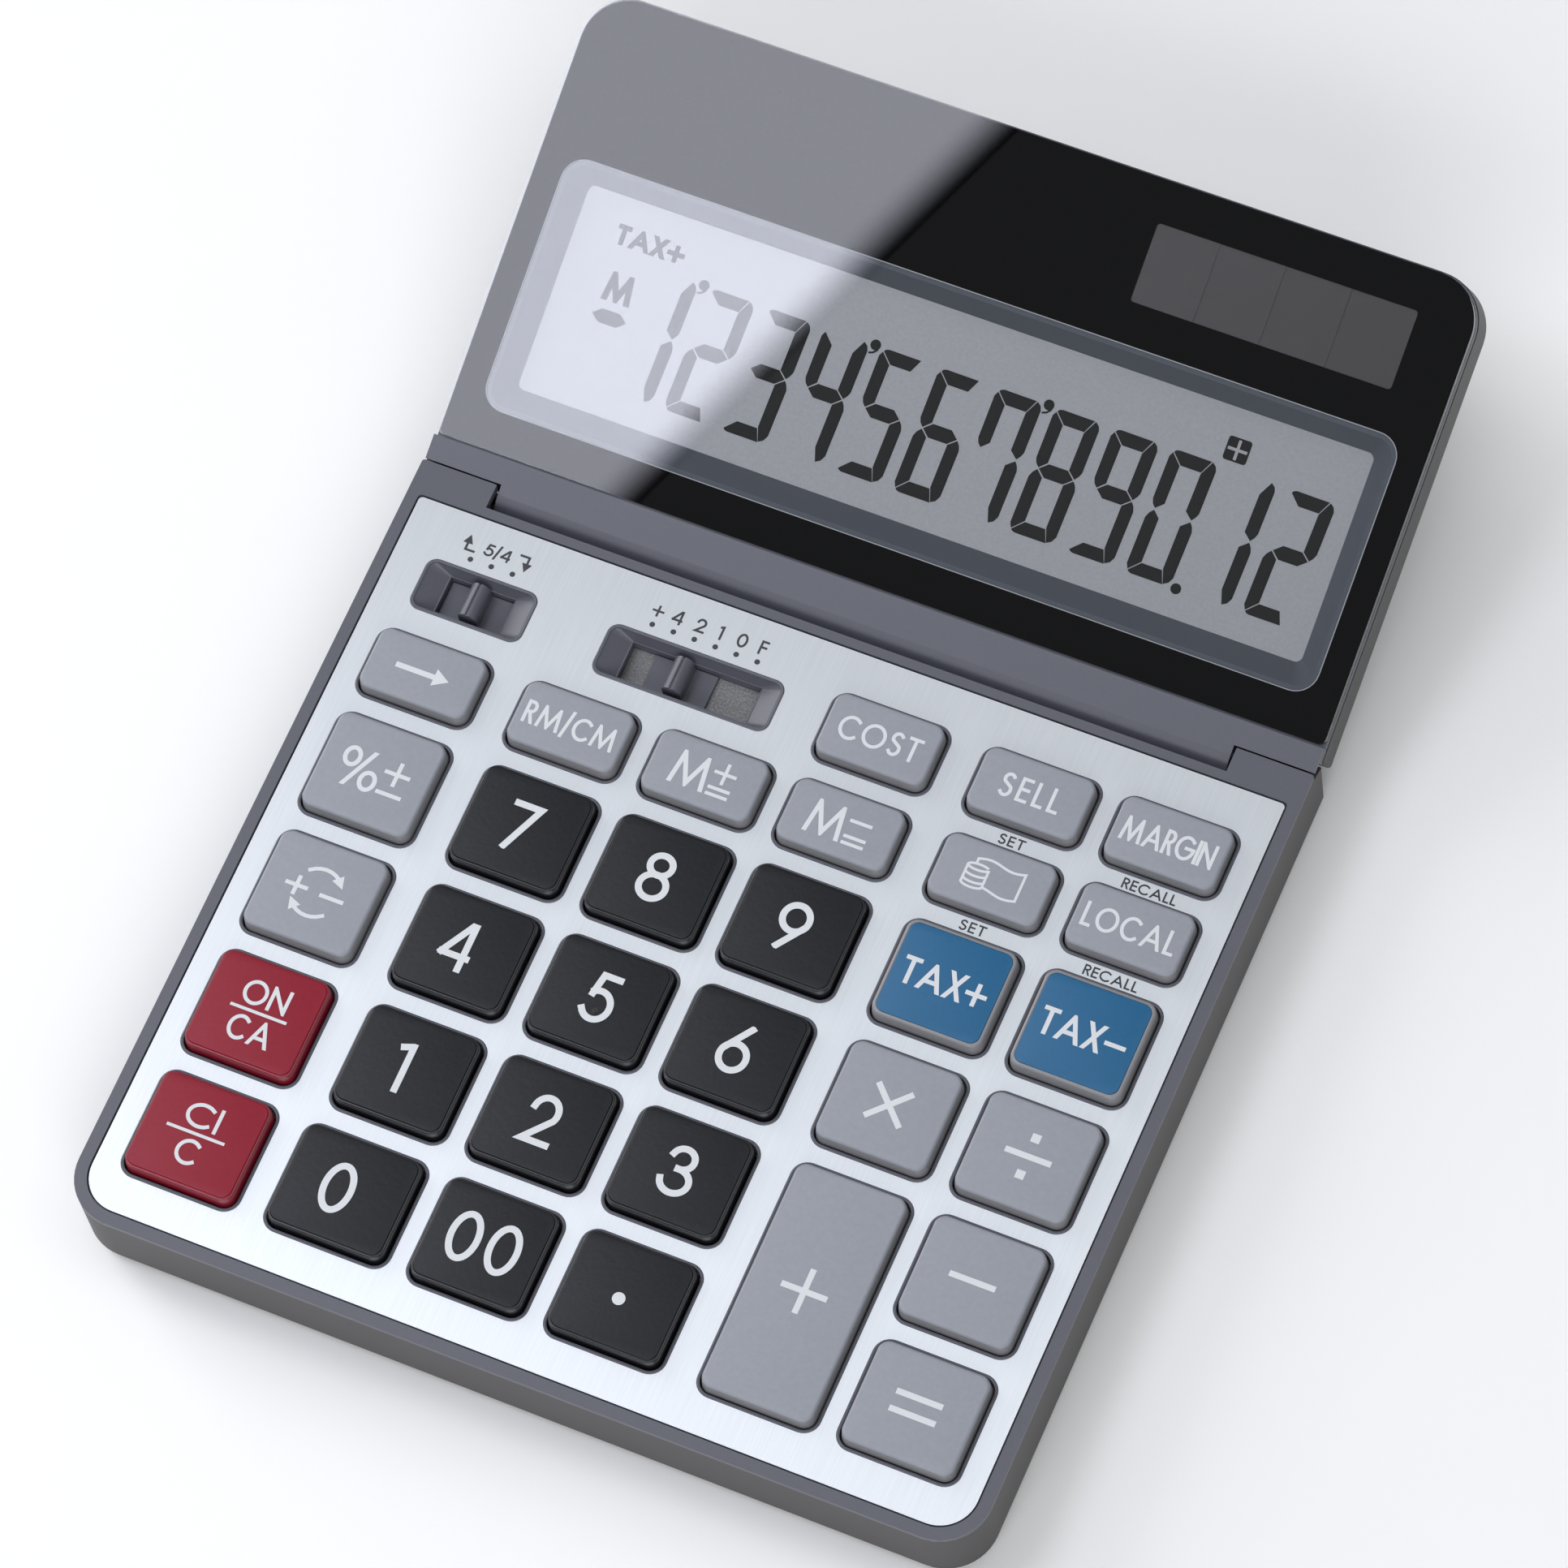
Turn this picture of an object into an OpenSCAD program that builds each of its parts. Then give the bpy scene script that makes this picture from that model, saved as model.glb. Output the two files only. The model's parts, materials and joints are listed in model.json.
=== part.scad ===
// Desk calculator with a tilting display, 32 keys and two slide switches.
// Origin: centre of the footprint, on the surface that it stands on. X right, Y to the back, Z up.
// Inside the file everything is laid out from the middle of the face plate's front edge, at the plate's top face,
// and is moved to the origin at the very end.

/* [Node] */
// Sub-part to draw, or all

/* [Overall] */
// Width over the side walls
body_w = 127; // [105:0.5:160]
// Depth of the face plate
plate_d = 106.5; // [90:0.5:135]
// Height of the base, from the bottom case's underside to the plate's top face
base_h = 12; // [11.5:0.1:18]
// Length of the display from its hinge end to its top end
lens_d = 62.7; // [52:0.1:80]
// Thickness of the display
display_t = 10.4; // [10:0.1:15]
// Angle of the display above the plate
tilt = 20.87; // [0:0.01:20.87]

/* [Face plate] */
// Thickness of the metal plate
plate_t = 0.8; // [0.5:0.05:1.2]
// Front corner radius of the plate
plate_r = 5; // [3:0.1:8]
// Width of the case's rim with its groove
rim_w = 1.9; // [1.6:0.05:3]

/* [Keys] */
// Gap between neighbouring key holes in the plate
hole_gap = 2.25; // [1.8:0.05:3]
// Extra gap that sets off the first and the last two columns
group_gap = 2.05; // [0:0.05:4]
// Plate left at each side of the keys
side_margin = 3.15; // [2.5:0.05:6]
// Plate left in front of the keys
front_margin = 5.04; // [5:0.05:9]
// Plate left behind the keys
rear_margin = 5.75; // [5.6:0.05:9]
// Corner radius of a key hole
hole_r = 2.3; // [1.5:0.05:3]
// Height of the key tops above the plate
key_rise = 2; // [1.8:0.1:3.5]
// How far a key goes down
key_travel = 1.5; // [0.8:0.1:1.7]
// Gap round a key in its hole
key_gap = 0.27; // [0.2:0.01:0.4]
// How much narrower the key's top face is, on each side
key_taper = 0.38; // [0.2:0.01:0.6]
// How much further the zero key reaches to the left
zero_extra = 0.95; // [0:0.05:1.2]

/* [Switches] */
// Distance between switch positions
switch_step = 3.03; // [2.5:0.01:3.2]
// Width of a knob's ridge
knob_w = 2.7; // [2:0.1:3]
// Depth of a switch window, front to back
window_d = 7.7; // [7:0.1:8.5]

/* [Hinge] */
// Radius of the hinge barrel
barrel_r = 3.5; // [3.3:0.05:3.8]
// Width of the corner beside each end of the barrel, to the outer wall
corner_w = 11.3; // [10.5:0.1:23.5]
// Outer radius of a hinge pin
pin_r = 1.25; // [1:0.05:1.4]

/* [Hidden] */
eps = 0.01;
// Running clearance of the pins in the barrel
pin_play = 0.05;
wall = 1.8;
floor_t = 1.6;
deck_t = 1.4;
foot_h = 1;
foot_r = 4;
lip_t = 0.35;
lip_play = 0.05;
lip_rise = 0.1;
cover_t = 0.8;
rim_rise = 0.1;
groove = 0.25;
front_r = plate_r + rim_w;

// Upper edge of the bottom case's wall, which the top case's deck sits inside
rebate_wall = 1.1;
fit_play = 0.1;

plate_w = body_w - 2 * rim_w;
front_y = -rim_w;
deck_half = body_w / 2 - rebate_wall - fit_play;
deck_z = -plate_t - deck_t;
floor_z = -base_h + floor_t;

// Key grid
pitch_x = (plate_w - 2 * side_margin - 2 * group_gap + hole_gap) / 6;
small_ratio = 0.716;
pitch_y = (plate_d - front_margin - rear_margin + hole_gap) / (4 + 2 * small_ratio);
small_y = pitch_y * small_ratio;
hole_w = pitch_x - hole_gap;

// Each key: node name, column, row from the front, rows it spans, shell colour
function grey() = [0.55, 0.57, 0.60];
function black() = [0.12, 0.12, 0.13];
function red() = [0.60, 0.11, 0.18];
function blue() = [0.23, 0.43, 0.60];
KEYS = [
    ["key_shift", 0, 4, 1, grey()],
    ["key_percent", 0, 3, 1, grey()],
    ["key_sign", 0, 2, 1, grey()],
    ["key_on", 0, 1, 1, red()],
    ["key_clear", 0, 0, 1, red()],
    ["key_memory_recall", 1, 4, 1, grey()],
    ["key_7", 1, 3, 1, black()],
    ["key_4", 1, 2, 1, black()],
    ["key_1", 1, 1, 1, black()],
    ["key_0", 1, 0, 1, black()],
    ["key_memory_plus", 2, 4, 1, grey()],
    ["key_8", 2, 3, 1, black()],
    ["key_5", 2, 2, 1, black()],
    ["key_2", 2, 1, 1, black()],
    ["key_00", 2, 0, 1, black()],
    ["key_cost", 3, 5, 1, grey()],
    ["key_memory_minus", 3, 4, 1, grey()],
    ["key_9", 3, 3, 1, black()],
    ["key_6", 3, 2, 1, black()],
    ["key_3", 3, 1, 1, black()],
    ["key_point", 3, 0, 1, black()],
    ["key_sell", 4, 5, 1, grey()],
    ["key_currency", 4, 4, 1, grey()],
    ["key_tax_plus", 4, 3, 1, blue()],
    ["key_multiply", 4, 2, 1, grey()],
    ["key_plus", 4, 0, 2, grey()],
    ["key_margin", 5, 5, 1, grey()],
    ["key_local", 5, 4, 1, grey()],
    ["key_tax_minus", 5, 3, 1, blue()],
    ["key_divide", 5, 2, 1, grey()],
    ["key_minus", 5, 1, 1, grey()],
    ["key_equals", 5, 0, 1, grey()]
];

function col_x(c) =
    -plate_w / 2 + side_margin + hole_w / 2 + c * pitch_x + group_gap * ((c > 0 ? 1 : 0) + (c > 3 ? 1 : 0));
function row_y(r) = front_margin + min(r, 4) * pitch_y + max(r - 4, 0) * small_y;
function key_extra(k) = k[0] == "key_0" ? zero_extra : 0;
function key_x(k) = col_x(k[1]) - key_extra(k) / 2;
function key_w(k) = hole_w + key_extra(k);
function key_h(k) = (k[2] > 3 ? small_y : k[3] * pitch_y) - hole_gap;
function key_y(k) = row_y(k[2]) + key_h(k) / 2;

// Key section, from the top face down
shell_t = 1.1;
flange_z = deck_z - 0.08;
flange_t = 0.6;
flange_w = 0.75;
stem_r = 1.5;
key_inset = lip_play + lip_t + key_gap;

// Circuit board and key mat below the keys
dome_h = 0.3;
mat_t = 0.5;
dome_r = 3.2;
stem_z = deck_z - 0.08 - flange_t - 0.15;
mat_z = stem_z - key_travel - 0.1 - dome_h;
board_t = 1;
board_z = mat_z - mat_t;
board_w = plate_w - 4;
board_y0 = front_margin - 0.4;
board_y1 = plate_d - 5.2;
board_screws = [
    for (c = [0, 3], r = [1, 2, 3])
        [col_x(c) + hole_w / 2 + (hole_gap + group_gap) / 2, row_y(r) - hole_gap / 2]
];
processor_at = [-22, 58];
processor_r = 5;
board_post_r = 1.3;
small_r = 0.75;
small_head_r = 1.3;
small_head_t = 0.5;

// Slide switches: window centre, number of positions, position that the knob stands at
switch_y = row_y(5) + window_d / 2 + 1.2;
rounding_count = 3;
rounding_at = 1;
rounding_x = col_x(0) + 1.35;
decimal_count = 6;
decimal_at = 2;
decimal_x = col_x(1) + 11.02;
slot_d = 5.4;
slot_margin = 0.3;
well_wall = 0.9;
knob_d = slot_d - 0.5;
knob_top = 0.4;
knob_groove_w = 0.3;
knob_groove_d = 0.25;
trough_z = -1.5;
trough_end = 3.4;
trough_edge = 0.4;
switch_floor_z = deck_z - 1.1;
switch_floor_t = 0.7;
guard_w = 9;
guard_t = 0.5;
slide_play = 0.1;
neck_t = 0.5;
slider_w = 5.7;
slider_t = 0.8;
slider_z = switch_floor_z - switch_floor_t - slide_play - slider_t;
window_r = 1.6;
contact_w = 2.2;
contact_t = 0.25;
contact_inset = 0.3;
contact_leg_t = 0.4;
contact_leg_d = 3.2;
contact_z = board_z + 0.1;

function slot_w(count) = (count - 1) * switch_step + knob_w + 2 * slot_margin;
function window_w(count) = slot_w(count) + 2 * trough_end;
function guard_half(count) = slot_w(count) / 2 - knob_w / 2 - slot_margin + guard_w / 2 + slide_play;
function knob_x(x, count, at) = x + (at - (count - 1) / 2) * switch_step;

// Hinge axis, worked out from the lens: the flat bar below the lens is tangent to the barrel
lens_gap = 0.3;
strip_w = 1.3;
barrel_play = 0.3;
barrel_drop = 0.29;
axis_y = plate_d + groove + strip_w + barrel_play + barrel_r;
axis_z = -barrel_drop - barrel_r;
axis_back = 5.07;
strip_y = axis_y - barrel_r - barrel_play;
cradle_r = barrel_r + barrel_play;
cradle_t = 1.1;
block_r = 2.45;
block_y = axis_y + block_r;
cover_y = axis_y - 0.25;
block_cover_t = -axis_z - block_r + rim_rise;
barrel_half = body_w / 2 - corner_w;
block_x = barrel_half + 0.5;
boss_w = 5.3;
pin_in = 6.2;
pin_bore_r = 0.7;
cheek_play = 0.2;
wire_r = 0.45;
wire_x = -barrel_half + pin_in + 1.5;

// Display, laid out in its own frame: y from the lens's lower edge, z from the lens's face
lens_w = body_w - 0.5;
lens_t = 1.6;
lens_r = 6.7;
frame_w = body_w - 0.4;
frame_t = 1.25;
frame_top = lens_d + 0.1;
seam = 0.05;
frame_z = -lens_t - seam - frame_t;
back_w = body_w - 0.2;
back_wall = 1.6;
back_floor = 1.4;
back_chamfer = 1.1;
back_top = frame_top + 0.1;
bar_end_y = 1.37 - axis_back;
casing_end_y = 2.77 - axis_back;
bar_lip_t = 1;
window_half = lens_w / 2 - 4;
window_y0 = 5.4;
window_y1 = lens_d - 22.1;
glass_half = window_half - 4.3;
glass_y0 = window_y0 + 4.9;
glass_y1 = window_y1 - 3.5;
bezel_wall = 0.7;
bezel_r = 3.2;
lcd_z = -4.3;
lcd_t = 2;
lcd_edge = 2;
zebra_h = 1.3;
zebra_w = 2;
display_board_t = 0.8;
solar_half = 18.2;
solar_x = lens_w / 2 - 26.05;
solar_y0 = lens_d - 16.5;
solar_h = 10.8;
solar_t = 1.1;
display_boss_r = 2;
display_screws = [
    for (s = [-1, 1]) [s * (lens_w / 2 - 12), 2.35],
    for (s = [-1, 1]) [s * (lens_w / 2 - 5.5), lens_d - 6]
];
screw_r = 1;
screw_head_r = 1.8;
screw_head_t = 1.2;
screw_l = 6.4;
screw_sunk = 0.72;
case_screw_z = -base_h + screw_sunk;
display_screw_l = 4.4;
display_screw_z = -display_t + screw_sunk;

// Case screws, battery and feet
case_boss_r = 2.1;
case_screws = [
    for (s = [-1, 0, 1]) [s * (plate_w / 2 - 6.5), 2.1],
    for (s = [-1, 0, 1]) [s * (plate_w / 2 - 6.5), plate_d - 3]
];
cell_r = 5.8;
cell_h = 3.05;
cell_x = 30;
cell_y = 52;
cell_play = 0.25;
cell_cover_w = 17;
cell_cover_d = 23;
cell_cover_t = 0.9;
cell_cover_play = 0.15;
cell_screw_y = cell_y - 8.8;
cell_cover_y = cell_y - 2.6;
cell_z = -base_h + cell_cover_t + 0.05;
cell_wall = 1;
foot_x = body_w / 2 - 12;
foot_ys = [9, plate_d - 8];
foot_recess = 0.4;

// Placing: the whole thing's box, worked out from its outermost points
display_back_y = axis_y + (axis_back + back_top) * cos(tilt) + (display_t - back_chamfer - barrel_r) * sin(tilt);
mid_y = (front_y + display_back_y) / 2;

// ---------- helpers ----------

module to_desk() {
    translate([0, -mid_y, base_h + foot_h]) children();
}

// From the display's own frame to the base's
module on_display() {
    translate([0, axis_y, axis_z]) rotate([tilt, 0, 0]) translate([0, axis_back, barrel_r]) children();
}

// Rectangle x0..x1, y0..y1 with one radius for its front corners and one for its back corners
module outline(x0, x1, y0, y1, rf, rb) {
    mid = (y0 + y1) / 2;
    translate([x0, y0 + rf]) square([x1 - x0, y1 - y0 - rf - rb]);
    translate([x0 + rf, y0]) square([x1 - x0 - 2 * rf, mid - y0 + 0.1]);
    translate([x0 + rb, mid - 0.1]) square([x1 - x0 - 2 * rb, y1 - mid + 0.1]);
    for (x = [x0 + rf, x1 - rf]) translate([x, y0 + rf]) circle(r = rf, $fn = 48);
    for (x = [x0 + rb, x1 - rb]) translate([x, y1 - rb]) circle(r = rb, $fn = 48);
}

module slab(x0, x1, y0, y1, z0, z1, rf, rb) {
    translate([0, 0, z0]) linear_extrude(z1 - z0) outline(x0, x1, y0, y1, rf, rb);
}

// Rounded plate centred on x, y
module pad(x, y, w, d, z0, z1, r) {
    translate([x, y, 0]) slab(-w / 2, w / 2, -d / 2, d / 2, z0, z1, r, r);
}

module block(x0, x1, y0, y1, z0, z1) {
    translate([x0, y0, z0]) cube([x1 - x0, y1 - y0, z1 - z0]);
}

module rod(x, y, z0, z1, r) {
    translate([x, y, z0]) cylinder(r = r, h = z1 - z0, $fn = 48);
}

// Round bar along X about the hinge axis
module axle(x0, x1, r) {
    translate([x0, axis_y, axis_z]) rotate([0, 90, 0]) cylinder(r = r, h = x1 - x0, $fn = 96);
}

// The same in the display's own frame
module display_axle(x0, x1, r) {
    translate([x0, -axis_back, -barrel_r]) rotate([0, 90, 0]) cylinder(r = r, h = x1 - x0, $fn = 96);
}

// ---------- keys and switches ----------

module key_cap(k) {
    x = key_x(k);
    y = key_y(k);
    w = key_w(k) - 2 * key_inset;
    d = key_h(k) - 2 * key_inset;
    r = hole_r - key_inset;
    color(k[4]) difference() {
        union() {
            hull() {
                pad(x, y, w - 0.1, d - 0.1, 0, 0.2, r);
                pad(x, y, w - 0.3, d - 0.3, key_rise - 0.5, key_rise - 0.45, r);
                pad(x, y, w - 2 * key_taper, d - 2 * key_taper, key_rise - 0.1, key_rise, r);
            }
            pad(x, y, w, d, flange_z - flange_t, 0.1, r);
            pad(x, y, w + 2 * flange_w, d + 2 * flange_w, flange_z - flange_t, flange_z, r);
        }
        pad(x, y, w - 2 * shell_t, d - 2 * shell_t, stem_z - 1, key_rise - shell_t, 0.8);
    }
    color(k[4]) rod(x, y, stem_z, key_rise - shell_t + 0.1, stem_r);
}

// Knob of a slide switch: ridge, guard plate on the floor of the slot, neck through the slit at the slot's front edge,
// slider plate below the floor
module knob(x) {
    r = knob_w / 2;
    front = switch_y - slot_d / 2 + slide_play;
    color([0.25, 0.25, 0.27]) {
        difference() {
            union() {
                block(x - r, x + r, switch_y - knob_d / 2, switch_y + knob_d / 2, switch_floor_z + slide_play,
                      knob_top - r);
                translate([x, switch_y + knob_d / 2, knob_top - r]) rotate([90, 0, 0])
                    cylinder(r = r, h = knob_d, $fn = 48);
            }
            block(x - knob_groove_w / 2, x + knob_groove_w / 2, switch_y - knob_d, switch_y + knob_d,
                  knob_top - knob_groove_d, knob_top + 1);
        }
        block(x - guard_w / 2, x + guard_w / 2, front, switch_y + slot_d / 2 - slide_play,
              switch_floor_z + slide_play / 2, switch_floor_z + slide_play / 2 + guard_t);
        block(x - r, x + r, front, front + neck_t, slider_z + slider_t / 2, switch_floor_z + guard_t / 2);
        block(x - slider_w / 2, x + slider_w / 2, switch_y - slot_d / 2, switch_y + slot_d / 2,
              slider_z, slider_z + slider_t);
    }
}

// Two-legged spring contact under a knob
module contact(x) {
    d = slot_d / 2 - contact_inset;
    color([0.80, 0.66, 0.38]) {
        block(x - contact_w / 2, x + contact_w / 2, switch_y - d, switch_y + d, slider_z - contact_t, slider_z);
        for (s = [-1, 1])
            block(x + (s * contact_w - contact_leg_t) / 2, x + (s * contact_w + contact_leg_t) / 2,
                  switch_y - contact_leg_d / 2, switch_y + contact_leg_d / 2, contact_z,
                  slider_z - contact_t / 2);
    }
}

// ---------- base ----------

module face_plate() {
    color([0.80, 0.82, 0.84]) difference() {
        slab(-plate_w / 2, plate_w / 2, 0, plate_d, -plate_t, 0, plate_r, 0.6);
        for (k = KEYS) pad(key_x(k), key_y(k), key_w(k), key_h(k), -2 * plate_t, 1, hole_r);
        switch_windows(0, -2 * plate_t, 1);
    }
}

module switch_windows(inset, z0, z1) {
    for (s = [[rounding_x, rounding_count], [decimal_x, decimal_count]])
        pad(s[0], switch_y, window_w(s[1]) - 2 * inset, window_d - 2 * inset, z0, z1, window_r - inset);
}

// Lips that stand up round each opening of the plate
module opening_lips() {
    for (k = KEYS)
        pad(key_x(k), key_y(k), key_w(k) - 2 * lip_play, key_h(k) - 2 * lip_play, deck_z, lip_rise,
            hole_r - lip_play);
    switch_windows(lip_play, deck_z, lip_rise);
}

module key_shafts() {
    inset = lip_play + lip_t;
    for (k = KEYS)
        pad(key_x(k), key_y(k), key_w(k) - 2 * inset, key_h(k) - 2 * inset, deck_z - 1, 1, hole_r - inset);
}

// Sloping trough of a switch, down to its slot, the space for the guard plate and the slit for the neck
module trough(x, count) {
    w = window_w(count) - 2 * trough_edge - 2 * lip_play;
    d = window_d - 2 * trough_edge - 2 * lip_play;
    slot = slot_w(count) / 2;
    hull() {
        pad(x, switch_y, w, d, lip_rise - 0.2, lip_rise + 1, window_r - trough_edge);
        pad(x, switch_y, 2 * slot + trough_edge, slot_d + trough_edge / 2, trough_z - 0.1, trough_z, trough_edge);
    }
    block(x - slot, x + slot, switch_y - slot_d / 2, switch_y + slot_d / 2, switch_floor_z, trough_z + 0.5);
    block(x - guard_half(count), x + guard_half(count), switch_y - slot_d / 2, switch_y + slot_d / 2,
          switch_floor_z, switch_floor_z + guard_t + slide_play);
    block(x - slot, x + slot, switch_y - slot_d / 2, switch_y - slot_d / 2 + neck_t + 2 * slide_play,
          switch_floor_z - 2, switch_floor_z + 0.1);
}

module trough_wells() {
    for (s = [[rounding_x, rounding_count], [decimal_x, decimal_count]]) {
        half = guard_half(s[1]) + well_wall;
        block(s[0] - half, s[0] + half, switch_y - slot_d / 2 - well_wall, switch_y + slot_d / 2 + well_wall,
              switch_floor_z - switch_floor_t, deck_z + 0.1);
    }
}

// Cradle in which the hinge barrel turns, with the strip of case in front of it
module cradle() {
    x = block_x + cover_t;
    difference() {
        union() {
            intersection() {
                axle(-x, x, cradle_r + cradle_t);
                block(-x, x, strip_y - 2, block_y - wall - 0.05, axis_z - 2 * barrel_r, axis_z);
            }
            block(-x, x, strip_y - cradle_t, strip_y + 1, axis_z - eps, rim_rise);
        }
        axle(-block_x, block_x, cradle_r);
        axle(-x - 1, x + 1, pin_r + cheek_play);
        block(-block_x, block_x, strip_y, block_y + 5, axis_z - 0.1, 2);
    }
}

module top_case() {
    color([0.31, 0.32, 0.35]) difference() {
        union() {
            difference() {
                slab(-body_w / 2, body_w / 2, front_y, cover_y, -cover_t, rim_rise, front_r, 0.4);
                slab(-plate_w / 2 - groove, plate_w / 2 + groove, -groove, plate_d + groove, -plate_t, 1,
                     plate_r + groove, 0.6);
                block(-block_x, block_x, strip_y, cover_y + 1, -5, 2);
            }
            // Deck under the plate; its edge sits in the rebate of the bottom case's wall
            slab(-deck_half, deck_half, front_y + rebate_wall + fit_play, strip_y - 0.2, deck_z, -plate_t,
                 front_r - rebate_wall, 0.4);
            for (s = [-1, 1])
                scale([s, 1, 1])
                    block(block_x, deck_half, strip_y - 1, cover_y, rim_rise - block_cover_t + 0.05, -cover_t + 0.1);
            cradle();
            opening_lips();
            trough_wells();
            for (p = case_screws) rod(p[0], p[1], floor_z + 0.05, deck_z + eps, case_boss_r);
            for (p = board_screws) rod(p[0], p[1], board_z + eps, deck_z + eps, board_post_r);
        }
        key_shafts();
        trough(rounding_x, rounding_count);
        trough(decimal_x, decimal_count);
        for (p = case_screws) rod(p[0], p[1], floor_z - 1, case_screw_z + screw_l + 0.2, screw_r);
        for (p = board_screws) rod(p[0], p[1], board_z - 1, deck_z - 0.3, small_r);
    }
}

module bottom_case() {
    color([0.35, 0.35, 0.34]) difference() {
        union() {
            difference() {
                union() {
                    slab(-body_w / 2, body_w / 2, front_y, block_y, -base_h + 1, -cover_t - 0.05, front_r, 0.8);
                    hull() {
                        slab(-body_w / 2, body_w / 2, front_y, block_y, -base_h + 0.9, -base_h + 1, front_r, 0.8);
                        slab(-body_w / 2 + 0.7, body_w / 2 - 0.7, front_y + 0.7, block_y - 0.5,
                             -base_h, -base_h + 0.1, front_r - 0.7, 0.8);
                    }
                }
                slab(-body_w / 2 + wall, body_w / 2 - wall, front_y + wall, block_y - wall, floor_z, 1,
                     front_r - wall, 0.8);
                slab(-body_w / 2 + rebate_wall, body_w / 2 - rebate_wall, front_y + rebate_wall, block_y - wall,
                     deck_z - fit_play, 1, front_r - rebate_wall, 0.8);
            }
            for (s = [-1, 1])
                scale([s, 1, 1])
                    block(block_x + cover_t + fit_play, block_x + boss_w, strip_y + 0.2, block_y - wall + eps,
                          floor_z - eps, axis_z + block_r);
            rod(cell_x, cell_y, floor_z - eps, cell_z + cell_h - 0.3, cell_r + cell_play + cell_wall);
            rod(cell_x, cell_screw_y, floor_z - eps, floor_z + 1.9, small_r + 1);
        }
        // Rounded heads of the hinge blocks, and the middle cut down for the barrel
        difference() {
            block(-body_w, body_w, cover_y, block_y + 5, axis_z, 1);
            axle(-body_w, body_w, block_r);
        }
        block(-body_w / 2 + rebate_wall, body_w / 2 - rebate_wall, strip_y, cover_y + 0.1, axis_z + block_r, 1);
        axle(-block_x, block_x, cradle_r + cradle_t + 0.1);
        block(-block_x, block_x, strip_y - cradle_t, block_y + 5, axis_z, 1);
        axle(-body_w / 2 + wall, body_w / 2 - wall, pin_r);
        // Screw holes, battery well, feet
        for (p = case_screws) {
            rod(p[0], p[1], -base_h - 1, floor_z + 1, screw_r + 0.1);
            rod(p[0], p[1], -base_h - 1, case_screw_z, screw_head_r + 0.1);
        }
        rod(cell_x, cell_y, -base_h - 1, 0, cell_r + cell_play);
        pad(cell_x, cell_cover_y, cell_cover_w, cell_cover_d, -base_h - 1, -base_h + cell_cover_t, 1.5);
        rod(cell_x, cell_screw_y, -base_h, floor_z + 1.5, small_r);
        for (x = [-foot_x, foot_x], y = foot_ys)
            rod(x, y, -base_h - 1, -base_h + foot_recess, foot_r + 0.1);
    }
}

module feet() {
    color([0.16, 0.16, 0.16])
        for (x = [-foot_x, foot_x], y = foot_ys) {
            rod(x, y, -base_h - foot_h + 0.3, -base_h + foot_recess, foot_r);
            rod(x, y, -base_h - foot_h, -base_h - foot_h + 0.3 + eps, foot_r - 0.4);
        }
}

module key_mat() {
    r = board_post_r + 0.3;
    color([0.72, 0.72, 0.70]) difference() {
        union() {
            slab(-board_w / 2 + 0.5, board_w / 2 - 0.5, board_y0 + 0.5, board_y1 - 0.5, mat_z - mat_t, mat_z, 2, 2);
            for (k = KEYS) rod(key_x(k), key_y(k), mat_z - eps, mat_z + dome_h, dome_r);
        }
        for (p = board_screws) rod(p[0], p[1], mat_z - 2, mat_z + 1, r);
        for (s = [[rounding_x, rounding_count], [decimal_x, decimal_count]])
            block(s[0] - window_w(s[1]) / 2, s[0] + window_w(s[1]) / 2, switch_y - window_d / 2,
                  switch_y + window_d / 2, mat_z - 2, mat_z + 1);
    }
}

module main_board() {
    color([0.13, 0.36, 0.22]) difference() {
        slab(-board_w / 2, board_w / 2, board_y0, board_y1, board_z - board_t, board_z, 2, 2);
        for (p = board_screws) rod(p[0], p[1], board_z - 2, board_z + 1, small_r + 0.1);
    }
}

module processor() {
    z = board_z - board_t;
    color([0.08, 0.08, 0.09]) {
        rod(processor_at[0], processor_at[1], z - 0.6, z, processor_r);
        rod(processor_at[0], processor_at[1], z - 1, z - 0.5, processor_r * 0.72);
    }
}

module case_screw(x, y, z, l) {
    color([0.62, 0.63, 0.65]) difference() {
        union() {
            rod(x, y, z - screw_head_t, z, screw_head_r);
            rod(x, y, z - eps, z + l, screw_r - 0.02);
        }
        for (a = [0, 90]) translate([x, y, z - screw_head_t]) rotate(a) cube([2, 0.45, 1.2], center = true);
    }
}

module small_screw(x, y, z, l) {
    color([0.62, 0.63, 0.65]) difference() {
        union() {
            rod(x, y, z - small_head_t, z, small_head_r);
            rod(x, y, z - eps, z + l, small_r - 0.02);
        }
        for (a = [0, 90]) translate([x, y, z - small_head_t]) rotate(a) cube([1.5, 0.35, 0.5], center = true);
    }
}

module small_screws() {
    for (p = board_screws) small_screw(p[0], p[1], board_z - board_t, 2.4);
    small_screw(cell_x, cell_screw_y, -base_h + small_head_t + 0.05, 2);
}

module battery() {
    color([0.78, 0.79, 0.80]) {
        rod(cell_x, cell_y, cell_z, cell_z + cell_h * 0.8, cell_r);
        rod(cell_x, cell_y, cell_z + cell_h * 0.8 - eps, cell_z + cell_h, cell_r - 0.9);
    }
}

module battery_contacts() {
    color([0.80, 0.66, 0.38]) {
        block(cell_x - 3, cell_x + 3, cell_y - 1.5, cell_y + 1.5, cell_z + cell_h, board_z - board_t);
        block(cell_x - cell_r - 3.2, cell_x - cell_r - 1.6, cell_y - 2, cell_y + 2,
              board_z - board_t - 0.8, board_z - board_t);
    }
}

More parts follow.
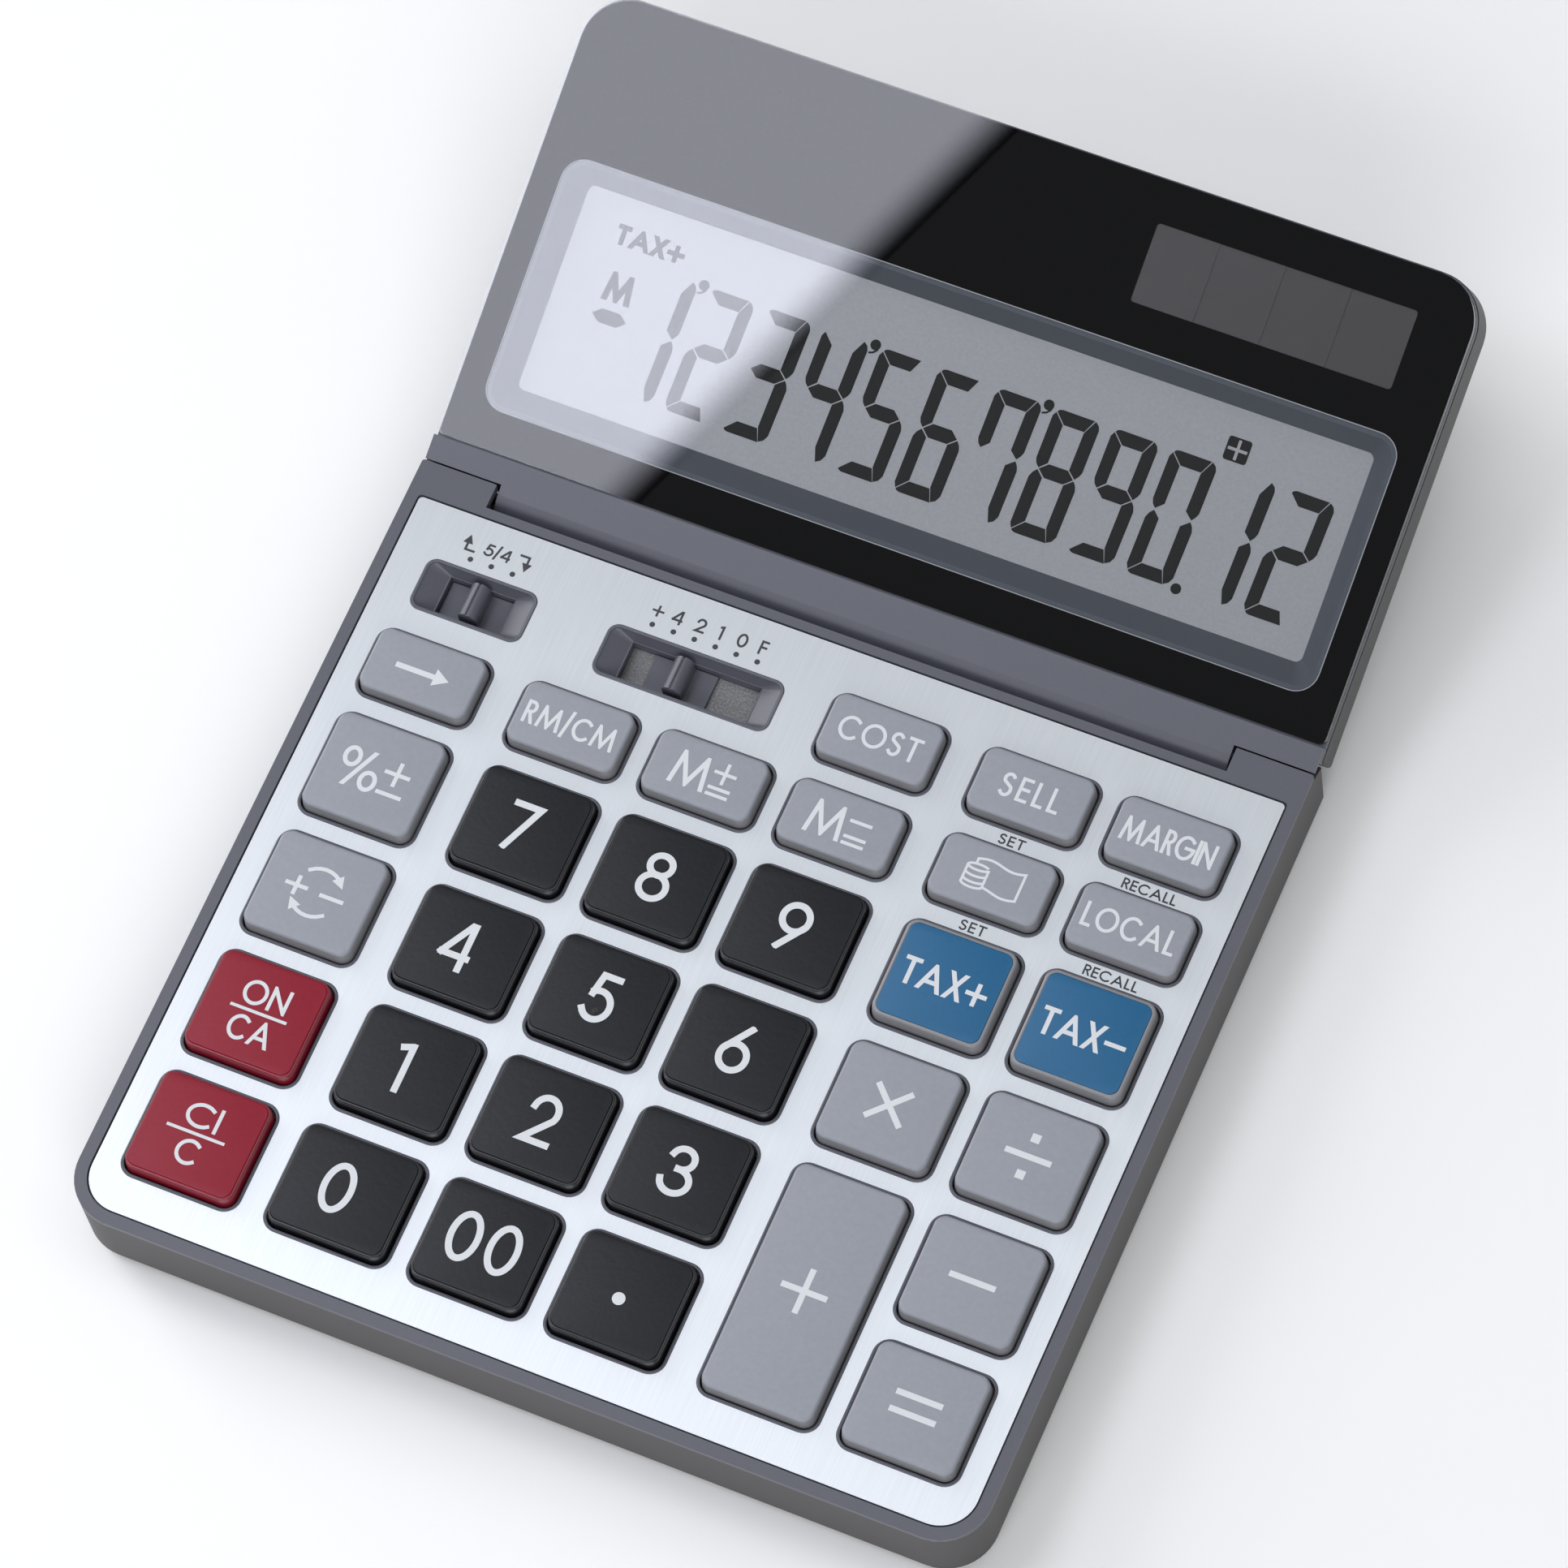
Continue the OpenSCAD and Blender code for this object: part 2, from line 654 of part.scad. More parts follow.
module battery_cover() {
    w = cell_cover_w - 2 * cell_cover_play;
    d = cell_cover_d - 2 * cell_cover_play;
    color([0.35, 0.35, 0.34]) difference() {
        pad(cell_x, cell_cover_y, w, d, -base_h, -base_h + cell_cover_t, 1.35);
        rod(cell_x, cell_screw_y, -base_h - 1, 0, small_r + 0.1);
        rod(cell_x, cell_screw_y, -base_h - 1, -base_h + small_head_t + 0.05, small_head_r + 0.1);
        for (i = [0 : 3])
            block(cell_x - 5, cell_x + 5, cell_y + 1 + 1.4 * i, cell_y + 1.7 + 1.4 * i, -base_h - 1, -base_h + 0.3);
    }
}

module hinge_pins() {
    color([0.62, 0.63, 0.65])
        for (s = [-1, 1])
            scale([s, 1, 1]) difference() {
                axle(barrel_half - pin_in, block_x + boss_w, pin_r - 0.01);
                axle(0, body_w, pin_bore_r);
            }
}

// Wires from the main board to the inside of the barrel, along the hinge axis
module hinge_wires() {
    x = -block_x - boss_w - 1.2;
    y = board_y1 - 3;
    r = wire_r;
    color([0.70, 0.18, 0.16]) {
        axle(x, wire_x, r);
        translate([x, y, axis_z]) rotate([-90, 0, 0]) cylinder(r = r, h = axis_y - y, $fn = 24);
        translate([x, axis_y, axis_z]) sphere(r = r, $fn = 24);
        translate([x, y, axis_z]) sphere(r = r, $fn = 24);
        rod(x, y, mat_z, axis_z, r);
    }
}

// ---------- display ----------

module display_lens() {
    color([0.12, 0.13, 0.14, 0.9])
        slab(-lens_w / 2, lens_w / 2, 0, lens_d, -lens_t, 0, 1, lens_r);
}

module display_frame() {
    x = frame_w / 2;
    bore = pin_r + pin_play - 0.01;
    color([0.31, 0.32, 0.35]) difference() {
        union() {
            slab(-x, x, -lens_gap - eps, frame_top, frame_z, -lens_t - seam, 0.2, lens_r);
            block(-x, x, bar_end_y, -lens_gap, -bar_lip_t, 0);
            block(-x, x, casing_end_y, -lens_gap, frame_z, -bar_lip_t + eps);
            block(-barrel_half, barrel_half, -axis_back, -lens_gap, frame_z, 0);
            display_axle(-barrel_half, barrel_half, barrel_r);
            for (p = display_screws) rod(p[0], p[1], -display_t + back_floor + 0.05, frame_z + eps, display_boss_r);
        }
        slab(-window_half, window_half, window_y0, window_y1, frame_z - 1, 0, bezel_r, bezel_r);
        block(solar_x - solar_half - 0.2, solar_x + solar_half + 0.2, solar_y0 - 0.2, solar_y0 + solar_h + 0.2,
              frame_z - 1, 0);
        for (s = [-1, 1]) scale([s, 1, 1]) display_axle(barrel_half - pin_in - 2.5, body_w, bore);
        // Way for the wires, from the barrel's left bore into the display
        translate([wire_x, -axis_back, -barrel_r]) rotate([-90, 0, 0])
            cylinder(r = 2 * wire_r, h = axis_back + 4, $fn = 32);
        for (p = display_screws)
            rod(p[0], p[1], -display_t, frame_z - 0.3, screw_r);
    }
}

module display_back() {
    x = back_w / 2;
    c = back_chamfer;
    z1 = frame_z - seam;
    color([0.35, 0.35, 0.34]) difference() {
        union() {
            slab(-x, x, casing_end_y, back_top, -display_t + c + 0.1, z1, 0.5, lens_r);
            hull() {
                slab(-x, x, casing_end_y, back_top, -display_t + c, -display_t + c + 0.1, 0.5, lens_r);
                slab(-x + c, x - c, casing_end_y + c, back_top - c, -display_t, -display_t + 0.1, 0.5, lens_r - c);
            }
        }
        slab(-x + back_wall, x - back_wall, casing_end_y + back_wall, back_top - back_wall,
             -display_t + back_floor, 1, 0.5, lens_r - back_wall);
        display_axle(-block_x, block_x, barrel_r + 0.05);
        translate([wire_x, -axis_back, -barrel_r]) rotate([-90, 0, 0])
            cylinder(r = 2 * wire_r, h = axis_back + 4, $fn = 32);
        for (p = display_screws) {
            rod(p[0], p[1], -display_t - 1, 0, screw_r + 0.1);
            rod(p[0], p[1], -display_t - 1, display_screw_z, screw_head_r + 0.1);
        }
    }
}

module lcd_bezel() {
    h = 0.1;
    color([0.28, 0.30, 0.34]) difference() {
        slab(-window_half + h, window_half - h, window_y0 + h, window_y1 - h, lcd_z, -lens_t - seam,
             bezel_r - h, bezel_r - h);
        hull() {
            slab(-window_half + bezel_wall, window_half - bezel_wall, window_y0 + bezel_wall,
                 window_y1 - bezel_wall, -lens_t - seam, 0, bezel_r - bezel_wall, bezel_r - bezel_wall);
            slab(-glass_half, glass_half, glass_y0, glass_y1, lcd_z - 1, lcd_z, 0.4, 0.4);
        }
    }
}

module lcd_panel() {
    color([0.64, 0.65, 0.68]) {
        block(-glass_half - lcd_edge, glass_half + lcd_edge, glass_y0 - lcd_edge, glass_y1 + lcd_edge,
              lcd_z - lcd_t / 2, lcd_z - eps);
        block(-glass_half - lcd_edge, glass_half + lcd_edge, glass_y0 - lcd_edge - 2, glass_y1 + lcd_edge,
              lcd_z - lcd_t, lcd_z - lcd_t / 2 + eps);
    }
}

module lcd_connector() {
    color([0.75, 0.30, 0.35])
        block(-glass_half, glass_half, glass_y0 - lcd_edge - 1.9, glass_y0 - lcd_edge - 1.9 + zebra_w,
              lcd_z - lcd_t - zebra_h, lcd_z - lcd_t);
}

module display_board() {
    z1 = lcd_z - lcd_t - zebra_h;
    color([0.13, 0.36, 0.22])
        block(-glass_half - lcd_edge, glass_half + lcd_edge, glass_y0 - lcd_edge - 2.4, glass_y1,
              z1 - display_board_t, z1);
}

// Wires from the barrel to the display board
module display_wires() {
    y0 = -axis_back + 1.2;
    y1 = glass_y0 - lcd_edge - 3.4;
    z1 = lcd_z - lcd_t - zebra_h - 0.4;
    color([0.70, 0.18, 0.16]) {
        translate([wire_x, y0, -barrel_r]) rotate([-90, 0, 0]) cylinder(r = wire_r, h = y1 - y0, $fn = 24);
        translate([wire_x, y1, -barrel_r]) sphere(r = wire_r, $fn = 24);
        rod(wire_x, y1, z1, -barrel_r, wire_r);
        translate([wire_x, y1, z1]) rotate([-90, 0, 0]) cylinder(r = wire_r, h = 0.9, $fn = 24);
    }
}

module solar_panel() {
    gap = 0.4;
    w = (2 * solar_half - 3 * gap) / 4;
    color([0.22, 0.17, 0.17]) {
        block(solar_x - solar_half, solar_x + solar_half, solar_y0, solar_y0 + solar_h,
              -lens_t - seam - solar_t, -lens_t - seam - 0.1);
        for (i = [0 : 3])
            block(solar_x - solar_half + i * (w + gap), solar_x - solar_half + i * (w + gap) + w,
                  solar_y0, solar_y0 + solar_h, -lens_t - seam - 0.1 - eps, -lens_t - seam);
    }
}

// ---------- the whole calculator ----------

to_desk() {
    for (k = KEYS) key_cap(k);
    knob(knob_x(rounding_x, rounding_count, rounding_at));  // knob_rounding
    knob(knob_x(decimal_x, decimal_count, decimal_at));  // knob_decimals
    contact(knob_x(rounding_x, rounding_count, rounding_at));  // contact_rounding
    contact(knob_x(decimal_x, decimal_count, decimal_at));  // contact_decimals
    top_case();
    face_plate();
    key_mat();
    main_board();
    processor();
    bottom_case();
    feet();
    for (p = case_screws) case_screw(p[0], p[1], case_screw_z, screw_l);
    small_screws();
    battery();
    battery_contacts();
    battery_cover();
    hinge_pins();
    hinge_wires();
    on_display() {
        display_back();
        display_frame();
        display_lens();
        lcd_bezel();
        lcd_panel();
        lcd_connector();
        display_board();
        display_wires();
        solar_panel();
        for (p = display_screws) case_screw(p[0], p[1], display_screw_z, display_screw_l);
    }
}
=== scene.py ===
"""Desk calculator with a tilting display: the visual model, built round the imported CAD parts."""

import json
import math

import bpy
from mathutils import Matrix, Vector


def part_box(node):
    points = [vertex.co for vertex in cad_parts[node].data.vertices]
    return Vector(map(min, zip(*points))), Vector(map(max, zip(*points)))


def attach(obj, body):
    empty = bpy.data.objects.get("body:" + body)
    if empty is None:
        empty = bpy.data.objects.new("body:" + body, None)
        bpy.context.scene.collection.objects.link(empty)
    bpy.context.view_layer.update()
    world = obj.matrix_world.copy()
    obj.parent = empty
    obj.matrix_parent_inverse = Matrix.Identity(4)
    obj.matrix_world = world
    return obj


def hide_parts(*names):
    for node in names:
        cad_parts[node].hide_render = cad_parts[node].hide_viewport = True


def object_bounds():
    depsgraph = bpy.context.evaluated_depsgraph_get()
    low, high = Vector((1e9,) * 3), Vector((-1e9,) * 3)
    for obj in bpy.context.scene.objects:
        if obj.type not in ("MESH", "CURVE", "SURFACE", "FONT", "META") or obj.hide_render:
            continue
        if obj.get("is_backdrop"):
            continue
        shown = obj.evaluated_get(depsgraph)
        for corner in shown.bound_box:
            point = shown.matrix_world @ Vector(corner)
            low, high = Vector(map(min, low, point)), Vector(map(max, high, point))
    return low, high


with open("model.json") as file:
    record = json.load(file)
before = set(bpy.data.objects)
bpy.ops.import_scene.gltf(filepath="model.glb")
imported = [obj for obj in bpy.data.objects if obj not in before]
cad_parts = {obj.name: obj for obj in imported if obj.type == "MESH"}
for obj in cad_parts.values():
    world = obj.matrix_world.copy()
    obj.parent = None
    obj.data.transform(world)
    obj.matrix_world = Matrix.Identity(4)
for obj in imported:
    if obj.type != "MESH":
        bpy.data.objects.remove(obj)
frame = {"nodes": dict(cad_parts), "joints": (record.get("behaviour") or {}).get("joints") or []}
size_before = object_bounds()
scene = bpy.context.scene

# ---------- places ----------
# Pieces are laid out in millimetres in one of two frames. BASE starts at the middle of the face plate's
# front edge, on its top face. DISPLAY starts at the middle of the lens's lower edge, on its face. Both have
# X right and Y to the back along the surface.

MM = 0.001
TILT = math.radians(20.87)
AXIS_BACK = 5.07
BARREL_R = 3.5

plate_low, plate_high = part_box("face_plate")
hinge = next(j for j in frame["joints"] if j["name"] == "display_tilt")["pos_m"]
MILLIMETRES = Matrix.Scale(MM, 4)
BASE = Matrix.Translation((0, plate_low.y, plate_high.z)) @ MILLIMETRES
DISPLAY = (
    Matrix.Translation(hinge)
    @ Matrix.Rotation(TILT, 4, "X")
    @ Matrix.Translation((0, AXIS_BACK * MM, BARREL_R * MM))
    @ MILLIMETRES
)

# ---------- camera ----------

CAMERA_TARGET = Vector((0.03, 85.76, 0))
CAMERA_DISTANCE = 1072.6
CAMERA_AZIMUTH = math.radians(35.24)
CAMERA_ELEVATION = math.radians(65.38)
CAMERA_ROLL = math.radians(-12.83)
CAMERA_LENS = 190.4


def camera_axes():
    """The camera's right, up and backward directions."""
    flat = math.cos(CAMERA_ELEVATION)
    back = Vector(
        (math.sin(CAMERA_AZIMUTH) * flat, -math.cos(CAMERA_AZIMUTH) * flat, math.sin(CAMERA_ELEVATION))
    )
    level = Vector((0, 0, 1)).cross(back).normalized()
    rise = back.cross(level)
    right = math.cos(CAMERA_ROLL) * level + math.sin(CAMERA_ROLL) * rise
    return right, back.cross(right), back


def add_camera():
    right, up, back = camera_axes()
    camera = bpy.data.objects.new("camera", bpy.data.cameras.new("camera"))
    camera.data.lens = CAMERA_LENS
    camera.data.sensor_width = 36
    camera.data.clip_end = 20
    camera.matrix_world = Matrix.Translation(BASE @ (CAMERA_TARGET + CAMERA_DISTANCE * back)) @ Matrix(
        (right, up, back)
    ).transposed().to_4x4()
    scene.collection.objects.link(camera)
    scene.camera = camera
    return camera


camera = add_camera()

# ---------- materials ----------


def new_material(name):
    material = bpy.data.materials.new(name)
    material.use_nodes = True
    nodes = material.node_tree.nodes
    return material, nodes, material.node_tree.links, nodes["Principled BSDF"]


def noise_at(nodes, links, scale, stretch=(1, 1, 1), detail=3):
    """Noise fixed to the piece, with so many features to a metre."""
    place = nodes.new("ShaderNodeTexCoord")
    mapping = nodes.new("ShaderNodeMapping")
    mapping.inputs["Scale"].default_value = stretch
    noise = nodes.new("ShaderNodeTexNoise")
    noise.inputs["Scale"].default_value = scale
    noise.inputs["Detail"].default_value = detail
    links.new(place.outputs["Object"], mapping.inputs["Vector"])
    links.new(mapping.outputs["Vector"], noise.inputs["Vector"])
    return noise.outputs["Fac"]


def add_bump(nodes, links, shader, height, strength, distance):
    bump = nodes.new("ShaderNodeBump")
    bump.inputs["Strength"].default_value = strength
    bump.inputs["Distance"].default_value = distance * MM
    links.new(height, bump.inputs["Height"])
    links.new(bump.outputs["Normal"], shader.inputs["Normal"])


def mottle(nodes, links, shader, factor, color, spread):
    """Base colour that wavers round color by the share spread."""
    ramp = nodes.new("ShaderNodeValToRGB")
    ramp.color_ramp.elements[0].position = 0.3
    ramp.color_ramp.elements[1].position = 0.7
    ramp.color_ramp.elements[0].color = [c * (1 - spread) for c in color] + [1]
    ramp.color_ramp.elements[1].color = [min(1, c * (1 + spread)) for c in color] + [1]
    links.new(factor, ramp.inputs["Fac"])
    links.new(ramp.outputs["Color"], shader.inputs["Base Color"])


def plastic(
    name, color, roughness, grain=1300, relief=0.02, strength=0.5, spread=0.03, metallic=0.0, specular=0.5
):
    """Moulded surface: a grain of so many bumps to a metre, relief millimetres deep."""
    material, nodes, links, shader = new_material(name)
    shader.inputs["Roughness"].default_value = roughness
    shader.inputs["Metallic"].default_value = metallic
    shader.inputs["Specular IOR Level"].default_value = specular
    height = noise_at(nodes, links, grain)
    mottle(nodes, links, shader, height, color, spread)
    add_bump(nodes, links, shader, height, strength, relief)
    return material


def brushed(name, color):
    """Aluminium brushed from front to back."""
    material, nodes, links, shader = new_material(name)
    shader.inputs["Metallic"].default_value = 0.75
    shader.inputs["Roughness"].default_value = 0.32
    streaks = noise_at(nodes, links, 1, stretch=(5200, 90, 300), detail=4)
    mottle(nodes, links, shader, streaks, color, 0.035)
    add_bump(nodes, links, shader, streaks, 0.18, 0.02)
    return material


def clear(name, shine, roughness):
    """Clear sheet of refractive index shine: light goes through, and both faces mirror a share of it."""
    material, nodes, links, shader = new_material(name)
    nodes.remove(shader)
    through = nodes.new("ShaderNodeBsdfTransparent")
    through.inputs["Color"].default_value = (0.97, 0.975, 0.98, 1)
    mirror = nodes.new("ShaderNodeBsdfGlossy")
    mirror.inputs["Roughness"].default_value = roughness
    slant = nodes.new("ShaderNodeLayerWeight")
    slant.inputs["Blend"].default_value = 0.5
    rise = nodes.new("ShaderNodeMath")
    rise.operation = "POWER"
    rise.inputs[1].default_value = 5
    share = nodes.new("ShaderNodeMath")
    share.operation = "MULTIPLY_ADD"
    straight = ((shine - 1) / (shine + 1)) ** 2
    share.inputs[1].default_value = 1 - straight
    share.inputs[2].default_value = straight
    mix = nodes.new("ShaderNodeMixShader")
    links.new(slant.outputs["Facing"], rise.inputs[0])
    links.new(rise.outputs["Value"], share.inputs[0])
    links.new(share.outputs["Value"], mix.inputs["Fac"])
    links.new(through.outputs["BSDF"], mix.inputs[1])
    links.new(mirror.outputs["BSDF"], mix.inputs[2])
    links.new(mix.outputs["Shader"], nodes["Material Output"].inputs["Surface"])
    return material


MATERIALS = {
    "key_grey": plastic("key_grey", (0.29, 0.305, 0.345), 0.45, grain=1500, relief=0.05, strength=0.35),
    # The sides of the grey keys and the grey body of the blue keys are the same plastic as the grey key
    # tops. They are painted a darker, warmer grey as painted shade; only their smoother finish is real.
    "key_grey_shaded_side": plastic(
        "key_grey_shaded_side", (0.25, 0.25, 0.265), 0.35, grain=3000, relief=0.01, strength=0.2
    ),
    "key_black": plastic(
        "key_black", (0.006, 0.007, 0.01), 0.4, grain=1500, relief=0.06, strength=0.5, specular=0.33
    ),
    "key_black_side": plastic(
        "key_black_side", (0.008, 0.008, 0.01), 0.2, grain=3000, relief=0.005, strength=0.2
    ),
    "key_red": plastic(
        "key_red", (0.25, 0.006, 0.022), 0.4, grain=1500, relief=0.05, strength=0.4, specular=0.3
    ),
    "key_red_side": plastic(
        "key_red_side", (0.24, 0.008, 0.022), 0.25, grain=3000, relief=0.005, strength=0.2
    ),
    "key_blue": plastic("key_blue", (0.006, 0.11, 0.25), 0.42, grain=1500, relief=0.05, strength=0.4),
    "case_dark": plastic("case_dark", (0.1, 0.103, 0.128), 0.4, grain=2600, relief=0.02, strength=0.25),
    "case_grey": plastic(
        "case_grey", (0.053, 0.051, 0.052), 0.5, grain=2600, relief=0.02, strength=0.35
    ),
    "plate_metal": brushed("plate_metal", (0.69, 0.72, 0.76)),
    "mat_rubber": plastic("mat_rubber", (0.45, 0.45, 0.43), 0.6),
    "board_green": plastic("board_green", (0.02, 0.11, 0.05), 0.4, grain=500, relief=0.01),
    "resin_black": plastic("resin_black", (0.008, 0.008, 0.009), 0.25, grain=300, relief=0.03),
    "foot_rubber": plastic("foot_rubber", (0.03, 0.03, 0.03), 0.75, grain=2500, relief=0.03),
    "screw_steel": plastic("screw_steel", (0.5, 0.5, 0.5), 0.32, grain=2500, relief=0.01, metallic=1.0),
    "cell_steel": plastic("cell_steel", (0.6, 0.6, 0.6), 0.28, grain=900, relief=0.01, metallic=1.0),
    "contact_brass": plastic(
        "contact_brass", (0.6, 0.42, 0.16), 0.3, grain=1500, relief=0.01, metallic=1.0
    ),
    "wire_red": plastic("wire_red", (0.4, 0.02, 0.015), 0.45, grain=900),
    "lens_acrylic": clear("lens_acrylic", 1.62, 0.012),
    "lens_print": plastic(
        "lens_print", (0.0015, 0.0015, 0.002), 0.6, grain=400, relief=0.005, specular=0.0
    ),
    "bezel_slate": plastic(
        "bezel_slate", (0.085, 0.096, 0.117), 0.5, grain=2600, relief=0.015, specular=0.2
    ),
    "lcd_glass": plastic(
        "lcd_glass", (0.37, 0.375, 0.395), 0.33, grain=2400, relief=0.01, spread=0.05, specular=0.3
    ),
    "lcd_ink": plastic("lcd_ink", (0.006, 0.0075, 0.007), 0.5, grain=900, relief=0.005, specular=0.1),
    "connector_rubber": plastic("connector_rubber", (0.5, 0.08, 0.1), 0.6),
    "solar_glass": plastic("solar_glass", (0.042, 0.036, 0.037), 0.35, grain=800, relief=0.01),
    "slot_strip": plastic("slot_strip", (0.2, 0.2, 0.205), 0.5, grain=3500, relief=0.01, spread=0.4),
    "legend_white": plastic(
        "legend_white", (0.68, 0.7, 0.73), 0.5, grain=900, relief=0.005, spread=0.01
    ),
    "legend_dark": plastic("legend_dark", (0.035, 0.037, 0.045), 0.5, grain=900, relief=0.005),
    "lens_line": plastic("lens_line", (0.3, 0.32, 0.34), 0.4, grain=900, relief=0.005),
    "floor": plastic(
        "floor", (0.97, 0.97, 0.97), 0.85, grain=40, relief=0.02, spread=0.004, specular=0.1
    ),
}

# ---------- shapes ----------

SHARP_FROM = math.radians(35)
CORNER_STEPS = 7


class Shape:
    """Vertices and faces of one piece, in millimetres; each face has the number of its material."""

    def __init__(self):
        self.points = []
        self.faces = []
        self.tints = []

    def add(self, points, faces, tints):
        start = len(self.points)
        self.points += points
        self.faces += [[start + i for i in face] for face in faces]
        self.tints += tints

    def loft(self, rings, tints=(0,), closed=False):
        """Skin over outlines with equal numbers of points, given as (points, height) in order."""
        count = len(rings[0][0])
        steps = len(rings) if closed else len(rings) - 1
        faces, shades = [], []
        for level in range(steps):
            low = level * count
            high = (level + 1) % len(rings) * count
            for i in range(count):
                j = (i + 1) % count
                faces.append([low + i, low + j, high + j, high + i])
            shades += [tints[min(level, len(tints) - 1)]] * count
        if not closed:
            top = (len(rings) - 1) * count
            faces += [list(range(count))[::-1], list(range(top, top + count))]
            shades += [tints[0], tints[-1]]
        self.add([(x, y, z) for outline, z in rings for x, y in outline], faces, shades)

    def prism(self, outline, low, high, tint=0):
        """Straight-sided piece over a convex outline, anticlockwise."""
        count = len(outline)
        points = [(x, y, low) for x, y in outline] + [(x, y, high) for x, y in outline]
        faces = [list(range(count))[::-1], list(range(count, 2 * count))]
        faces += [[i, (i + 1) % count, count + (i + 1) % count, count + i] for i in range(count)]
        self.add(points, faces, [tint] * len(faces))

    def build(self, name, place, body, materials, slot=None):
        """Makes the piece, in the frame place, and lets it ride on body."""
        mesh = bpy.data.meshes.new(name)
        mesh.from_pydata([place @ Vector(p) for p in self.points], [], self.faces)
        for material in materials:
            mesh.materials.append(MATERIALS[material])
        mesh.polygons.foreach_set("material_index", self.tints)
        mesh.shade_smooth()
        mesh.set_sharp_from_angle(angle=SHARP_FROM)
        piece = bpy.data.objects.new(name, mesh)
        scene.collection.objects.link(piece)
        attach(piece, body)
        slot or materials[0]
        return piece


def arc(x, y, rx, ry, start, end, steps=None):
    """Points along an ellipse from one angle to another, in degrees."""
    count = steps or max(4, round(abs(end - start) / 12))
    angles = [math.radians(start + (end - start) * i / count) for i in range(count + 1)]
    return [(x + rx * math.cos(a), y + ry * math.sin(a)) for a in angles]


def rounded(x0, x1, y0, y1, front_r, back_r=None):
    """Rectangle with one radius for its front corners and one for its back corners, anticlockwise."""
    back_r = front_r if back_r is None else back_r
    outline = arc(x1 - back_r, y1 - back_r, back_r, back_r, 0, 90, CORNER_STEPS)
    outline += arc(x0 + back_r, y1 - back_r, back_r, back_r, 90, 180, CORNER_STEPS)
    outline += arc(x0 + front_r, y0 + front_r, front_r, front_r, 180, 270, CORNER_STEPS)
    return outline + arc(x1 - front_r, y0 + front_r, front_r, front_r, 270, 360, CORNER_STEPS)


def cut(outline, inside, crossing):
    """The part of a convex outline on one side of a line."""
    kept = []
    for here, there in zip(outline, outline[1:] + outline[:1]):
        if inside(here):
            kept.append(here)
        if inside(here) != inside(there):
            kept.append(crossing(here, there))
    return kept


def cut_level(outline, level, keep_below):
    def inside(p):
        return p[1] <= level if keep_below else p[1] >= level

    def crossing(a, b):
        share = (level - a[1]) / (b[1] - a[1])
        return (a[0] + share * (b[0] - a[0]), level)

    return cut(outline, inside, crossing)


# ---------- lettering ----------
# A glyph is (width for a height of 1, strokes). A stroke is a list of points in a unit square that the
# middles of the lines fill; the word before it says whether it is "open" or a "loop".

